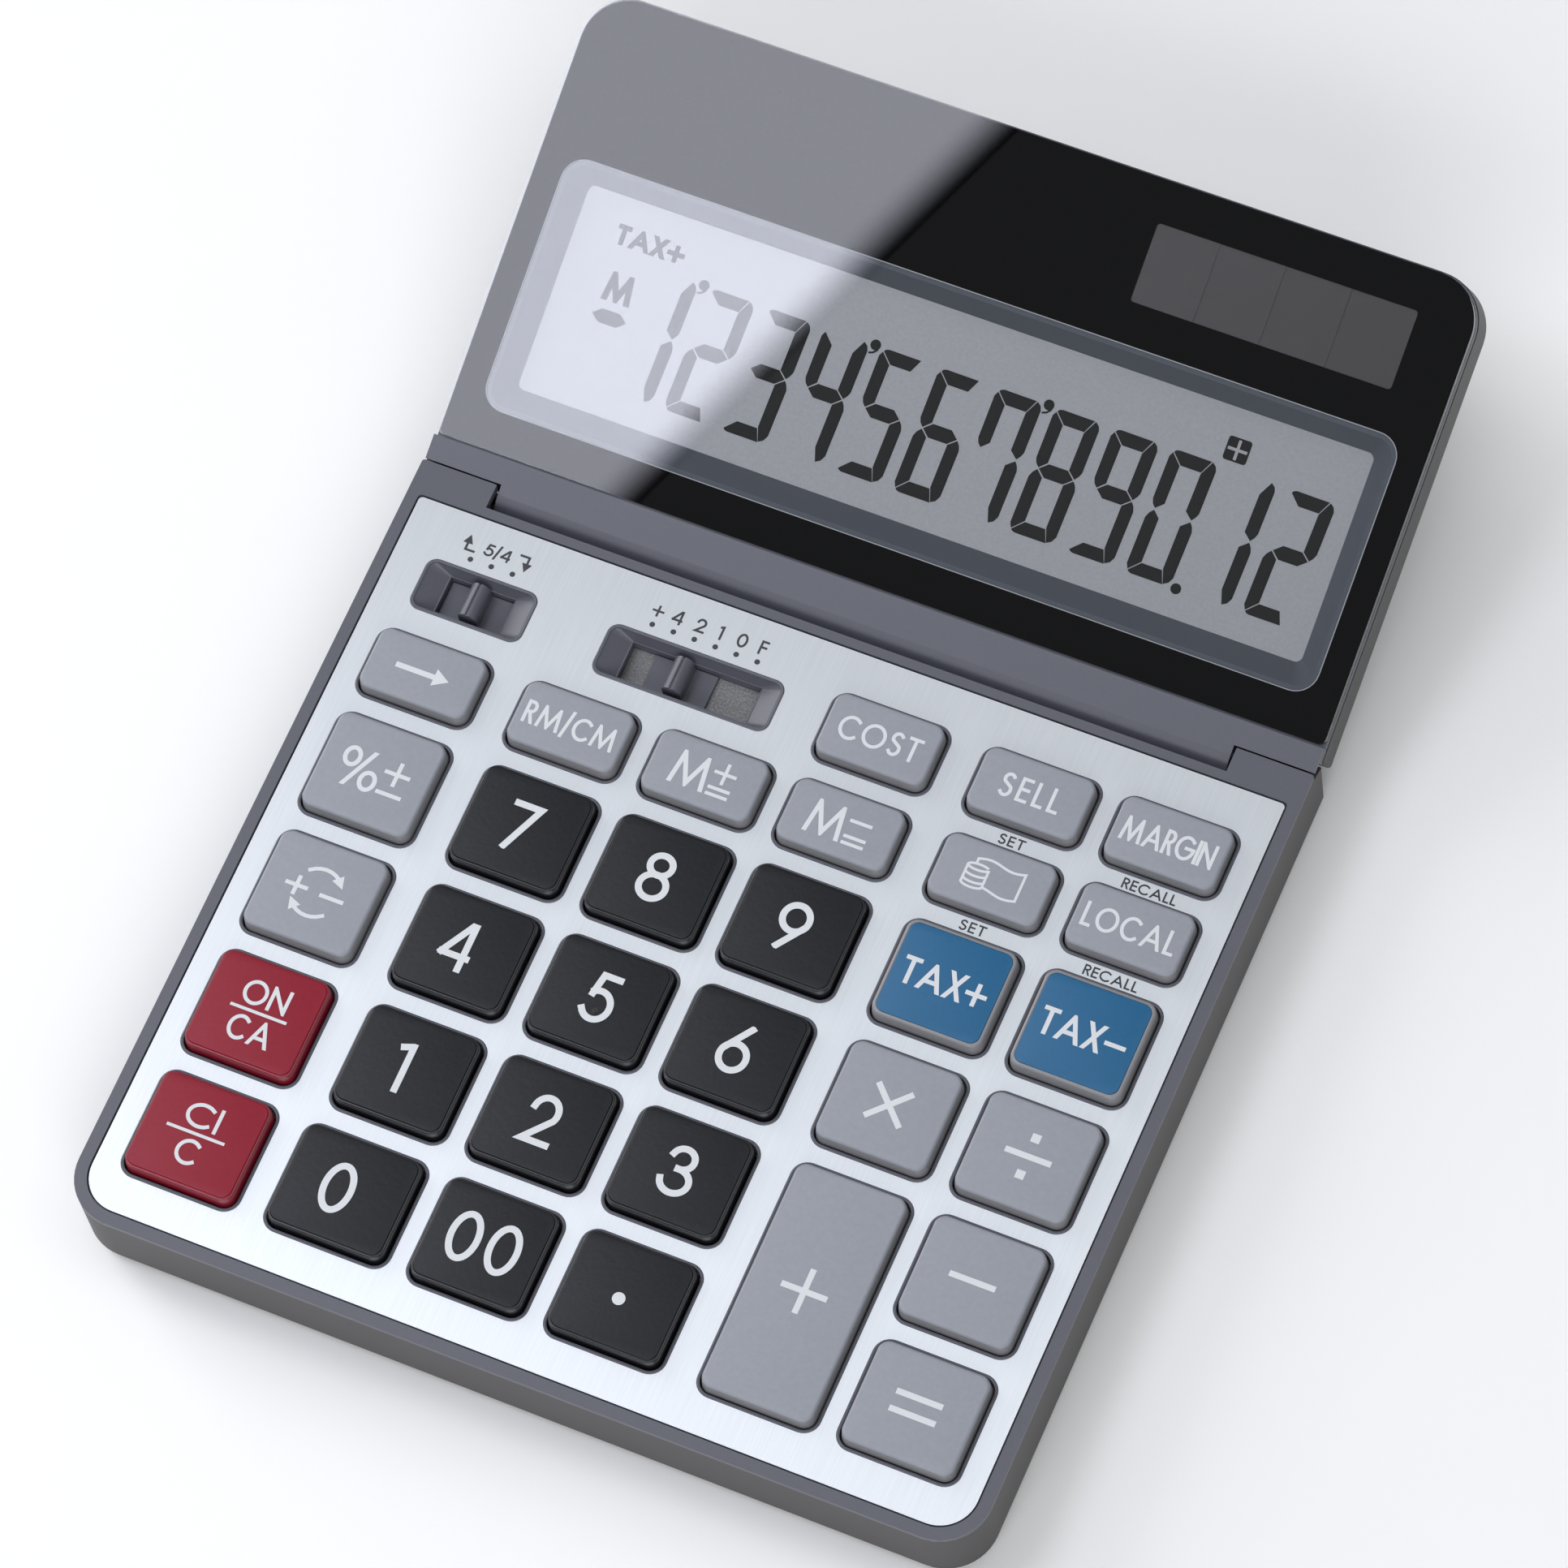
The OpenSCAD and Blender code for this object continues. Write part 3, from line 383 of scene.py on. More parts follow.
PEAK = 0.985
GLYPHS = {
    "0": (0.64, [("loop", arc(0.5, 0.5, 0.5, 0.5, 0, 360, 36))]),
    "1": (0.27, [("open", [(-0.1, 0.93), (1, 1), (1, 0)])]),
    "2": (0.62, [("open", arc(0.5, 0.7, 0.46, 0.3, 172, -32) + [(0.05, 0), (1, 0)])]),
    "3": (0.64, [("open", arc(0.46, 0.77, 0.42, 0.23, 165, -78) + [(0.42, 0.54)]),
                 ("open", [(0.42, 0.54)] + arc(0.47, 0.27, 0.53, 0.27, 78, -172))]),
    "4": (0.66, [("open", [(0.86, -0.1), (0.86, 1.1)]), ("open", [(0.88, 1.12), (0.02, 0.27)]),
                 ("open", [(0.04, 0.27), (1, 0.27)])]),
    "5": (0.64, [("open", [(0.95, 1), (0.34, 1), (0.2, 0.55)]),
                 ("open", arc(0.49, 0.325, 0.51, 0.325, 122, -150))]),
    "6": (0.64, [("loop", arc(0.5, 0.3, 0.5, 0.3, 0, 360, 36)), ("open", [(0.78, 1), (0.08, 0.45)])]),
    "7": (0.64, [("open", [(0, 1), (0.93, 1), (0.17, 0)])]),
    "8": (0.64, [("loop", arc(0.5, 0.77, 0.42, 0.23, 0, 360, 36)),
                 ("loop", arc(0.5, 0.275, 0.5, 0.275, 0, 360, 36))]),
    "9": (0.64, [("loop", arc(0.5, 0.7, 0.5, 0.3, 0, 360, 36)), ("open", [(0.22, 0), (0.92, 0.55)])]),
    "A": (0.95, [("open", [(0, -0.1), (0.5, PEAK), (1, -0.1)]), ("open", [(0.22, 0.3), (0.78, 0.3)])]),
    "C": (0.86, [("open", arc(0.57, 0.5, 0.57, 0.5, 48, 312))]),
    "E": (0.5, [("open", [(1, 1), (0, 1), (0, 0), (1, 0)]), ("open", [(0, 0.52), (0.95, 0.52)])]),
    "F": (0.5, [("open", [(1, 1), (0, 1), (0, -0.05)]), ("open", [(0, 0.52), (0.95, 0.52)])]),
    "G": (1.0, [("open", arc(0.5, 0.5, 0.5, 0.5, 46, 360) + [(0.55, 0.5)])]),
    "I": (0.12, [("open", [(0.5, 0), (0.5, 1)])]),
    "L": (0.46, [("open", [(0, 1), (0, 0), (1, 0)])]),
    "M": (1.1, [("open", [(0, -0.1), (0.14, PEAK), (0.5, 0.04), (0.86, PEAK), (1, -0.1)])]),
    "N": (0.78, [("open", [(0, -0.1), (0, PEAK), (1, 0.02), (1, 1.1)])]),
    "O": (1.0, [("loop", arc(0.5, 0.5, 0.5, 0.5, 0, 360, 36))]),
    "R": (0.56, [("open", [(0, 0), (0, 1)]),
                 ("open", [(0, 1)] + arc(0.42, 0.75, 0.5, 0.25, 90, -90) + [(0, 0.5)]),
                 ("open", [(0.42, 0.5), (1.02, -0.1)])]),
    "S": (0.58, [("open", arc(0.52, 0.77, 0.44, 0.23, 38, 215) + arc(0.48, 0.27, 0.48, 0.27, 35, -145))]),
    "T": (0.62, [("open", [(0, 1), (1, 1)]), ("open", [(0.5, 1), (0.5, 0)])]),
    "X": (0.72, [("open", [(0, -0.1), (1, 1.1)]), ("open", [(0, 1.1), (1, -0.1)])]),
    "/": (0.36, [("open", [(0, -0.15), (1, 1.15)])]),
    "%": (1.02, [("loop", arc(0.19, 0.76, 0.19, 0.24, 0, 360, 30)),
                 ("loop", arc(0.81, 0.24, 0.19, 0.24, 0, 360, 30)),
                 ("open", [(0.2, -0.1), (0.76, 1.1)])]),
    "+": (0.8, [("open", [(0, 0.45), (1, 0.45)]), ("open", [(0.5, 0.05), (0.5, 0.85)])]),
    "-": (0.8, [("open", [(0, 0.45), (1, 0.45)])]),
}
# Each stroke of a text stands this much above the one before, so that no two tops lie in one plane
LAYER = 0.0015
# How far a slash goes above and below the other letters, as shares of their height
SLASH_OVER = 0.12
SLASH_UNDER = 0.1


def side_points(points, half, looped):
    """Both edges of a line of width 2 * half, with mitred corners and square ends."""
    count = len(points)
    left, right = [], []
    for i, (x, y) in enumerate(points):
        before = points[i - 1] if i or looped else None
        after = points[(i + 1) % count] if i < count - 1 or looped else None
        steps = []
        if before:
            steps.append(Vector((x - before[0], y - before[1])).normalized())
        if after:
            steps.append(Vector((after[0] - x, after[1] - y)).normalized())
        normals = [Vector((-s.y, s.x)) for s in steps]
        middle = sum(normals, Vector((0, 0)))
        middle = middle.normalized() if middle.length > 1e-6 else normals[0]
        reach = half / max(0.16, middle.dot(normals[0]))
        shift = Vector((0, 0))
        if not before:
            shift = -half * steps[0]
        if not after:
            shift = half * steps[0]
        left.append((x + shift.x + reach * middle.x, y + shift.y + reach * middle.y))
        right.append((x + shift.x - reach * middle.x, y + shift.y - reach * middle.y))
    return left, right


def draw_line(shape, points, width, low, high, looped=False, top=None, bottom=None):
    """Raised line along points; top and bottom trim it level."""
    if looped and math.dist(points[0], points[-1]) < 1e-6:
        points = points[:-1]
    left, right = side_points(points, width / 2, looped)
    count = len(points)
    for i in range(count if looped else count - 1):
        j = (i + 1) % count
        piece = [right[i], right[j], left[j], left[i]]
        if top is not None:
            piece = cut_level(piece, top, True)
        if bottom is not None and piece:
            piece = cut_level(piece, bottom, False)
        if len(piece) > 2:
            shape.prism(piece, low, high)


def letters(shape, text, x, y, width, height, line, low, high, gap=0.14):
    """Text of that outer width and height, centred on x, with its feet at y."""
    widths = [GLYPHS[c][0] for c in text]
    natural = sum(widths) + gap * (len(text) - 1)
    scale = width / natural
    left = x - width / 2
    layer = 0
    for character, share in zip(text, widths):
        wide = share * scale
        for form, points in GLYPHS[character][1]:
            placed = [
                (left + line / 2 + u * (wide - line), y + line / 2 + v * (height - line)) for u, v in points
            ]
            layer += 1
            over, under = (SLASH_OVER, SLASH_UNDER) if character == "/" else (0, 0)
            draw_line(shape, placed, line, low, high + layer * LAYER, form == "loop",
                      y + height * (1 + over), y - height * under)
        left += wide + gap * scale


def disc(shape, x, y, radius, low, high, tint=0):
    shape.prism(arc(x, y, radius, radius, 0, 360, 28)[:-1], low, high, tint)


def bar(shape, x, y, width, depth, low, high, tint=0):
    outline = [
        (x - width / 2, y - depth / 2), (x + width / 2, y - depth / 2),
        (x + width / 2, y + depth / 2), (x - width / 2, y + depth / 2),
    ]
    shape.prism(outline, low, high, tint)


# ---------- keys ----------
# Sizes of the key section, the same as in the CAD part

FLANGE = 0.75
FLANGE_LOW = -2.88
FLANGE_HIGH = -2.28
STEM_LOW = -3.03
STEM_R = 1.5
KEY_R = 1.63
KEY_TOP = 2.0
HOLE_OVER_KEY = 0.67
EDGE_R = 0.42
INK = 0.012


def key_box(name):
    """Centre and size of a key's skirt, in BASE millimetres."""
    low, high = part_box(name)
    low, high = BASE.inverted() @ low, BASE.inverted() @ high
    width, depth = high.x - low.x - 2 * FLANGE, high.y - low.y - 2 * FLANGE
    return (low.x + high.x) / 2, (low.y + high.y) / 2, width, depth


def key_rings(x, y, w, d, profile):
    """Outlines of the key at the (inset, height) pairs of profile."""
    rings = []
    for inset, z in profile:
        r = max(0.3, KEY_R - 0.55 * inset)
        box = (x - w / 2 + inset, x + w / 2 - inset, y - d / 2 + inset, y + d / 2 - inset)
        rings.append((rounded(*box, r), z))
    return rings


SKIRT = [(-FLANGE, FLANGE_LOW), (-FLANGE, FLANGE_HIGH), (0, FLANGE_HIGH), (0, -0.6), (0.03, 0.1)]
SIDE_INSET = 0.16


def rounded_edge(inset, top, radius, steps=6):
    """Quarter round from the side, at that inset, to the top."""
    angles = [math.pi / 2 * i / steps for i in range(steps + 1)]
    return [(inset + radius * (1 - math.cos(a)), top - radius * (1 - math.sin(a))) for a in angles]


def soft_key():
    """Key with a rounded edge to its grained top."""
    profile = SKIRT + rounded_edge(SIDE_INSET, KEY_TOP, EDGE_R)
    tints = [1] * (len(SKIRT) + 1) + [0] * 6
    return profile, tints


def stepped_key():
    """Key with a thin ledge round its raised, grained top."""
    ledge = KEY_TOP - 0.2
    profile = SKIRT + rounded_edge(SIDE_INSET, ledge, 0.1, 3)
    profile += [(SIDE_INSET + 0.24, ledge)] + rounded_edge(SIDE_INSET + 0.26, KEY_TOP, 0.14, 4)
    tints = [1] * (len(SKIRT) + 5) + [0] * 6
    return profile, tints


def inlaid_key():
    """Grey key with a coloured inlay in its top."""
    rim = KEY_TOP - 0.06
    profile = SKIRT + rounded_edge(SIDE_INSET, rim, 0.34)
    profile += [(SIDE_INSET + 0.44, rim), (SIDE_INSET + 0.46, rim - 0.08), (SIDE_INSET + 0.5, rim - 0.08)]
    profile += rounded_edge(SIDE_INSET + 0.5, KEY_TOP, 0.1, 3)
    tints = [1] * (len(SKIRT) + 9) + [0] * 6
    return profile, tints


KEY_FORMS = {
    "key_grey": (soft_key, ["key_grey", "key_grey_shaded_side"]),
    "key_black": (stepped_key, ["key_black", "key_black_side"]),
    "key_red": (stepped_key, ["key_red", "key_red_side"]),
    "key_blue": (inlaid_key, ["key_blue", "key_grey_shaded_side"]),
}


# Radius and height of each step of the raised dot on the middle key
FINGER_DOT = ((0.48, 0.06), (0.4, 0.14), (0.26, 0.2))


def add_key(name, finish):
    form, materials = KEY_FORMS[finish]
    x, y, w, d = key_box(name)
    profile, tints = form()
    shape = Shape()
    shape.loft(key_rings(x, y, w, d, profile), tints)
    stem = arc(x, y, STEM_R, STEM_R, 0, 360, 24)[:-1]
    shape.prism(stem, STEM_LOW, FLANGE_LOW + 0.2, 1)
    if name == "key_5":
        for radius, rise in FINGER_DOT:
            disc(shape, x + 0.2, y - 1.9, radius, KEY_TOP - 0.1, KEY_TOP + rise, 1)
    piece = shape.build(name + "_cap_shell", BASE, name + "_cap", materials, slot=finish)
    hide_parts(name)


def legend(name, draw):
    """What is printed on a key; draw gets the shape and the middle of the key's top."""
    x, y, _, _ = key_box(name)
    shape = Shape()
    draw(shape, x, y)
    shape.build(name + "_legend", BASE, name + "_cap", ["legend_white"])


DIGIT_H = 7.1
DIGIT_LINE = 0.9
INK_LOW = KEY_TOP - 0.02
INK_HIGH = KEY_TOP + INK


def digit(text, shift=0.0, width=4.5):
    def draw(shape, x, y):
        letters(shape, text, x + shift, y - DIGIT_H / 2, width, DIGIT_H, DIGIT_LINE, INK_LOW, INK_HIGH)

    return draw


def words(text, width, height=3.5, line=0.42, gap=0.14, drop=0.0):
    def draw(shape, x, y):
        letters(shape, text, x, y - height / 2 - drop, width, height, line, INK_LOW, INK_HIGH, gap)

    return draw


def fraction(over, under, over_w, under_w, rule_w, shift=0.0):
    """Two words with a rule between them."""

    def draw(shape, x, y):
        letters(shape, over, x + shift, y + 0.75, over_w, 3.5, 0.5, INK_LOW, INK_HIGH, 0.1)
        letters(shape, under, x + shift, y - 4.4, under_w, 3.6, 0.5, INK_LOW, INK_HIGH, 0.1)
        bar(shape, x + shift, y, rule_w, 0.42, INK_LOW, INK_HIGH)

    return draw


def memory(sign):
    """M with a plus or minus above a double rule."""

    def draw(shape, x, y):
        letters(shape, "M", x - 1.9, y - 2.5, 5.1, 4.9, 0.62, INK_LOW, INK_HIGH)
        side = x + 2.55
        bar(shape, side, y + 0.95, 3.1, 0.46, INK_LOW, INK_HIGH)
        if sign == "+":
            bar(shape, side, y + 0.95, 0.46, 3.1, INK_LOW, INK_HIGH + LAYER)
        for rise in (-1.3, -2.25):
            bar(shape, side, y + rise, 3.1, 0.46, INK_LOW, INK_HIGH)

    return draw


def signs(marks):
    """Bars (and squares) given as (x, y, width, depth)."""

    def draw(shape, x, y):
        for layer, (dx, dy, width, depth) in enumerate(marks):
            bar(shape, x + dx, y + dy, width, depth, INK_LOW, INK_HIGH + layer * LAYER)

    return draw


def times(shape, x, y):
    reach = 2.15
    for layer, s in enumerate((-1, 1)):
        draw_line(shape, [(x - reach, y - s * reach), (x + reach, y + s * reach)], 0.8, INK_LOW,
                  INK_HIGH + layer * LAYER)


def arrow_head(shape, tip, direction, length, width, low, high):
    """Triangle with its point at tip, turned direction degrees from X."""
    along = Vector((math.cos(math.radians(direction)), math.sin(math.radians(direction))))
    across = Vector((-along.y, along.x))
    back = Vector(tip) - length * along
    corners = [Vector(tip), back + across * width / 2, back - across * width / 2]
    shape.prism([tuple(c) for c in corners], low, high)


def right_arrow(shape, x, y):
    bar(shape, x - 1.0, y - 0.1, 5.6, 0.75, INK_LOW, INK_HIGH)
    arrow_head(shape, (x + 3.8, y - 0.1), 0, 2.1, 2.5, INK_LOW, INK_HIGH + LAYER)


def percent_sign(shape, x, y):
    letters(shape, "%", x - 1.95, y - 2.85, 5.8, 5.7, 0.6, INK_LOW, INK_HIGH)
    side = x + 3.05
    bar(shape, side, y + 0.9, 3.6, 0.55, INK_LOW, INK_HIGH)
    bar(shape, side, y + 0.9, 0.55, 3.5, INK_LOW, INK_HIGH + LAYER)
    bar(shape, side, y - 2.1, 3.6, 0.55, INK_LOW, INK_HIGH)


def swap_sign(shape, x, y):
    """Plus and minus inside two bent arrows."""
    bar(shape, x - 2.75, y + 0.1, 3.2, 0.55, INK_LOW, INK_HIGH)
    bar(shape, x - 2.75, y + 0.1, 0.55, 2.8, INK_LOW, INK_HIGH + LAYER)
    bar(shape, x + 2.3, y - 0.1, 3.4, 0.55, INK_LOW, INK_HIGH)
    radius = 3.4
    for turn in (0, 180):
        bow = arc(x + 0.1, y, radius, radius, turn + 128, turn + 54)
        draw_line(shape, bow, 0.52, INK_LOW, INK_HIGH + LAYER)
        at = math.radians(turn + 28)
        tip = (x + 0.1 + radius * math.cos(at), y + radius * math.sin(at))
        arrow_head(shape, tip, turn - 48, 1.7, 1.7, INK_LOW, INK_HIGH)


def money(shape, x, y):
    """Pile of coins in front of a waving banknote."""
    line = 0.34
    coin_x, coin_w, coin_h = x - 2.2, 1.45, 0.42
    coin_rises = (-0.95, -0.05, 0.85)
    for layer, rise in enumerate(coin_rises):
        # Only the coin on top shows its whole rim
        start = 0 if rise == max(coin_rises) else 180
        rim = arc(coin_x, y + rise, coin_w, coin_h, start, 360)
        draw_line(shape, rim, line, INK_LOW, INK_HIGH + layer * LAYER)
    draw_line(shape, arc(coin_x, y - 1.65, coin_w, coin_h, 180, 360), line, INK_LOW, INK_HIGH)
    for s in (-1, 1):
        bar(shape, coin_x + s * coin_w, y - 0.4, line, 2.6, INK_LOW, INK_HIGH + 3 * LAYER)
    wave = [(0.55 * i, 0.3 * math.sin(2 * math.pi * i / 12)) for i in range(13)]
    left, foot = x - 2.65, y - 1.9
    top = [(left + u, y + 2.0 + v) for u, v in wave]
    edge = [(left, y + 1.35)] + top + [(left + wave[-1][0], foot)]
    draw_line(shape, edge, line, INK_LOW, INK_HIGH + 4 * LAYER)
    low = [(left + u, foot + v) for u, v in wave if u > 2.1]
    draw_line(shape, low, line, INK_LOW, INK_HIGH + 5 * LAYER)


def decimal_point(shape, x, y):
    disc(shape, x - 0.2, y - 0.5, 0.87, INK_LOW, INK_HIGH)


SIGN_W = 6.3
SIGN_LINE = 0.8
KEYS = {
    "key_shift": ("key_grey", right_arrow),
    "key_percent": ("key_grey", percent_sign),
    "key_sign": ("key_grey", swap_sign),
    "key_on": ("key_red", fraction("ON", "CA", 6.4, 6.2, 8.0, 0.2)),
    "key_clear": ("key_red", fraction("CI", "C", 4.8, 3.2, 8.2, -0.3)),
    "key_memory_recall": ("key_grey", words("RM/CM", 12.9, 3.3, 0.46, 0.1)),
    "key_7": ("key_black", digit("7")),
    "key_4": ("key_black", digit("4", -0.9)),
    "key_1": ("key_black", digit("1", -0.8, 2.0)),
    "key_0": ("key_black", digit("0", -0.9)),
    "key_memory_plus": ("key_grey", memory("+")),
    "key_8": ("key_black", digit("8")),
    "key_5": ("key_black", digit("5")),
    "key_2": ("key_black", digit("2")),
    "key_00": ("key_black", digit("00", 0, 9.9)),
    "key_cost": ("key_grey", words("COST", 11.4, 3.5, 0.46)),
    "key_memory_minus": ("key_grey", memory("-")),
    "key_9": ("key_black", digit("9")),
    "key_6": ("key_black", digit("6")),
    "key_3": ("key_black", digit("3")),
    "key_point": ("key_black", decimal_point),
    "key_sell": ("key_grey", words("SELL", 8.4, 3.5, 0.46, 0.2)),
    "key_currency": ("key_grey", money),
    "key_tax_plus": ("key_blue", words("TAX+", 11.8, 3.9, 0.6, 0.05)),
    "key_multiply": ("key_grey", times),
    "key_plus": ("key_grey", signs([(0, 0, SIGN_W, SIGN_LINE), (0, 0, SIGN_LINE, SIGN_W)])),
    "key_margin": ("key_grey", words("MARGIN", 12.8, 3.5, 0.46, 0.05)),
    "key_local": ("key_grey", words("LOCAL", 12.8, 3.45, 0.46, 0.12)),
    "key_tax_minus": ("key_blue", words("TAX-", 11.8, 3.9, 0.6, 0.05)),
    "key_divide": (
        "key_grey", signs([(0, 0, SIGN_W, SIGN_LINE), (0, 2.6, 1.2, 1.2), (0, -2.6, 1.2, 1.2)])
    ),
    "key_minus": ("key_grey", signs([(0, 0, SIGN_W, SIGN_LINE)])),
    "key_equals": ("key_grey", signs([(0, 1.2, SIGN_W, SIGN_LINE), (0, -1.2, SIGN_W, SIGN_LINE)])),
}

for key, (finish, draw) in KEYS.items():
    add_key(key, finish)
    legend(key, draw)

# ---------- openings and lettering of the face plate ----------

# Section of the lip round an opening: (how far inside the opening's edge, height over the plate)
LIP = [
    (-0.02, -0.3), (-0.02, 0.02), (0.04, 0.1), (0.14, 0.15),
    (0.24, 0.15), (0.34, 0.09), (0.4, -0.02), (0.4, -0.3),
]
HOLE_R = 2.3
SWITCH_Y = 95.14
SWITCH_D = 7.7
WINDOW_R = 1.6
TROUGH_END = 3.4
SLOT_D = 5.3
SLOT_FLOOR = -3.3
# Middle and width of the two switch windows
WINDOWS = [(-48.64, 16.16), (-17.74, 25.25)]
# Dots above the knobs' places, and the numerals of the decimal switch as (text, middle, width)
MARK_Y = 100.45
ROUNDING_MARKS = (-51.53, -48.5, -45.43)
DECIMAL_MARKS = (-25.23, -22.2, -19.2, -16.2, -13.2, -10.2)
DECIMAL_NUMERALS = [
    ("4", -22.45, 1.55), ("2", -19.15, 1.45), ("1", -16.3, 0.6), ("0", -13.2, 1.45), ("F", -10.2, 1.1),
]


def add_lips():
    """Rounded dark edge of each opening of the plate."""
    shape = Shape()
    openings = []
    for key in KEYS:
        x, y, w, d = key_box(key)
        openings.append((x, y, w + 2 * HOLE_OVER_KEY, d + 2 * HOLE_OVER_KEY, HOLE_R))
    for x, w in WINDOWS:
        openings.append((x, SWITCH_Y, w, SWITCH_D, WINDOW_R))
    for x, y, w, d, r in openings:
        rings = []
        for inset, z in LIP:
            box = (x - w / 2 + inset, x + w / 2 - inset, y - d / 2 + inset, y + d / 2 - inset)
            rings.append((rounded(*box, r - inset), z))
        shape.loft(rings, closed=True)
    shape.build("opening_lips", BASE, "base", ["case_dark"])


def add_slot_floors():
    """Speckled strip on the floor of each switch's slot, under the knob's guard plate."""
    shape = Shape()
    for x, w in WINDOWS:
        bar(shape, x, SWITCH_Y, w - 2 * TROUGH_END, SLOT_D, SLOT_FLOOR - 0.01, SLOT_FLOOR + 0.02)
    shape.build("slot_floors", BASE, "base", ["slot_strip"])


def add_plate_lettering():
    shape = Shape()
    low, high = -0.01, 0.01
    for y in (88.15, 75.25):
        letters(shape, "SET", 30.75, y, 3.6, 1.5, 0.24, low, high)
        letters(shape, "RECALL", 49.95, y, 7.5, 1.5, 0.24, low, high, 0.1)
    for x in ROUNDING_MARKS + DECIMAL_MARKS:
        disc(shape, x, MARK_Y, 0.38, low, high)
    letters(shape, "5/4", -48.5, 101.65, 3.8, 1.8, 0.3, low, high, 0.06)
    for text, x, w in DECIMAL_NUMERALS:
        letters(shape, text, x, 101.55, w, 2.05, 0.32, low, high)
    plus_x, plus_y = DECIMAL_MARKS[0], 102.5
    bar(shape, plus_x, plus_y, 1.65, 0.3, low, high)
    bar(shape, plus_x, plus_y, 0.3, 1.65, low, high + LAYER)
    up_x, down_x = -52.8, -44.2
    draw_line(shape, [(up_x + 1.2, 101.6), (up_x, 101.6), (up_x, 102.9)], 0.33, low, high)
    arrow_head(shape, (up_x, 103.8), 90, 1.3, 1.4, low, high + LAYER)
    draw_line(shape, [(down_x - 1.2, 103.4), (down_x, 103.4), (down_x, 102.1)], 0.33, low, high)
    arrow_head(shape, (down_x, 101.2), -90, 1.3, 1.4, low, high + LAYER)
    shape.build("plate_lettering", BASE, "base", ["legend_dark"])


add_lips()
add_slot_floors()
add_plate_lettering()

# ---------- display ----------

LENS_HALF = 63.25
LENS_D = 62.7
LENS_T = 1.6
LENS_R = 6.7
# Left, right, front and back of the clear windows in the print
WINDOW = (-59.25, 59.25, 5.4, 40.6)
SOLAR = (18.99, 55.41, 46.2, 57.0)
GLASS_Z = -4.31
# The print lies inside the lens, just over its lower face
PRINT_Z = -LENS_T + 0.04


def curve_sheet(name, outlines, low, high, place, body, material):
    """Flat piece with holes: the first outline is its edge, the others are holes."""
    curve = bpy.data.curves.new(name, "CURVE")
    curve.dimensions = "2D"
    curve.fill_mode = "BOTH"
    curve.extrude = (high - low) / 2
    for outline in outlines:
        spline = curve.splines.new("POLY")
        spline.points.add(len(outline) - 1)
        for point, (x, y) in zip(spline.points, outline):
            point.co = (x, y, 0, 1)
        spline.use_cyclic_u = True
    holder = bpy.data.objects.new(name + "_curve", curve)
    scene.collection.objects.link(holder)
    mesh = bpy.data.meshes.new_from_object(holder.evaluated_get(bpy.context.evaluated_depsgraph_get()))
    bpy.data.objects.remove(holder)
    bpy.data.curves.remove(curve)
    mesh.name = name
    mesh.transform(place @ Matrix.Translation((0, 0, (low + high) / 2)))
    mesh.materials.clear()
    mesh.materials.append(MATERIALS[material])
    piece = bpy.data.objects.new(name, mesh)
    scene.collection.objects.link(piece)
    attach(piece, body)


def grown(box, by):
    x0, x1, y0, y1 = box
    return (x0 - by, x1 + by, y0 - by, y1 + by)


def add_lens_print():
    """Black print at the back of the lens, and the fine line round the display window."""
    edge = rounded(-LENS_HALF + 0.05, LENS_HALF - 0.05, 0.05, LENS_D - 0.05, 0.95, LENS_R)
    outlines = [edge, rounded(*WINDOW, 3.2), rounded(*SOLAR, 0.5)]
    curve_sheet("lens_print", outlines, PRINT_Z, PRINT_Z + 0.03, DISPLAY, "display", "lens_print")
    line = [rounded(*grown(WINDOW, 0.08), 3.25), rounded(*grown(WINDOW, -0.06), 3.1)]
    curve_sheet("lens_line", line, PRINT_Z - 0.01, PRINT_Z + 0.04, DISPLAY, "display", "lens_line")


DIGIT_W = 6.55
LCD_H = 17.2
LCD_PITCH = 8.24
LCD_FIRST = -37.25
LCD_FOOT = 12.9
LCD_SLANT = math.tan(math.radians(1.9))
LCD_DOT_R = 0.72
# Corners of each segment, from the lower left of the numeral
SEGMENTS = {
    "a": [(4.74, 15.35), (5.6, 17.16), (1.05, 17.2), (0.6, 17.05), (0.4, 16.78), (1.88, 15.35)],
    "b": [
        (4.77, 9.98), (5.88, 9.06), (6.3, 9.6), (6.55, 10.2),
        (6.55, 16.1), (6.3, 16.7), (5.75, 17.12), (4.77, 15.2),
    ],
    "c": [
        (5.45, 0.08), (6.1, 0.45), (6.5, 1.2), (6.55, 7.6),
        (6.3, 8.3), (5.88, 8.82), (4.77, 7.9), (4.77, 1.95),
    ],
    "d": [(1.0, 0.0), (5.42, 0.0), (4.72, 1.75), (1.85, 1.75), (0.42, 0.35), (0.62, 0.14)],
    "e": [(0.35, 0.45), (1.78, 1.88), (1.78, 7.9), (0.78, 8.82), (0.3, 8.3), (0.0, 7.6), (0.0, 1.15)],
    "f": [(0.05, 10.2), (0.3, 9.55), (0.78, 9.06), (1.78, 9.98), (1.78, 15.25), (0.32, 16.68), (0.0, 16.1)],
    "g": [(0.9, 8.94), (2.0, 7.98), (4.65, 7.98), (5.75, 8.94), (4.65, 9.9), (2.0, 9.9)],
}
LIT = {
    "0": "abcdef", "1": "bc", "2": "abged", "3": "abgcd", "4": "fgbc",
    "5": "afgcd", "6": "afgedc", "7": "abcf", "8": "abcdefg", "9": "abcdfg",
}
READING = "123456789012"


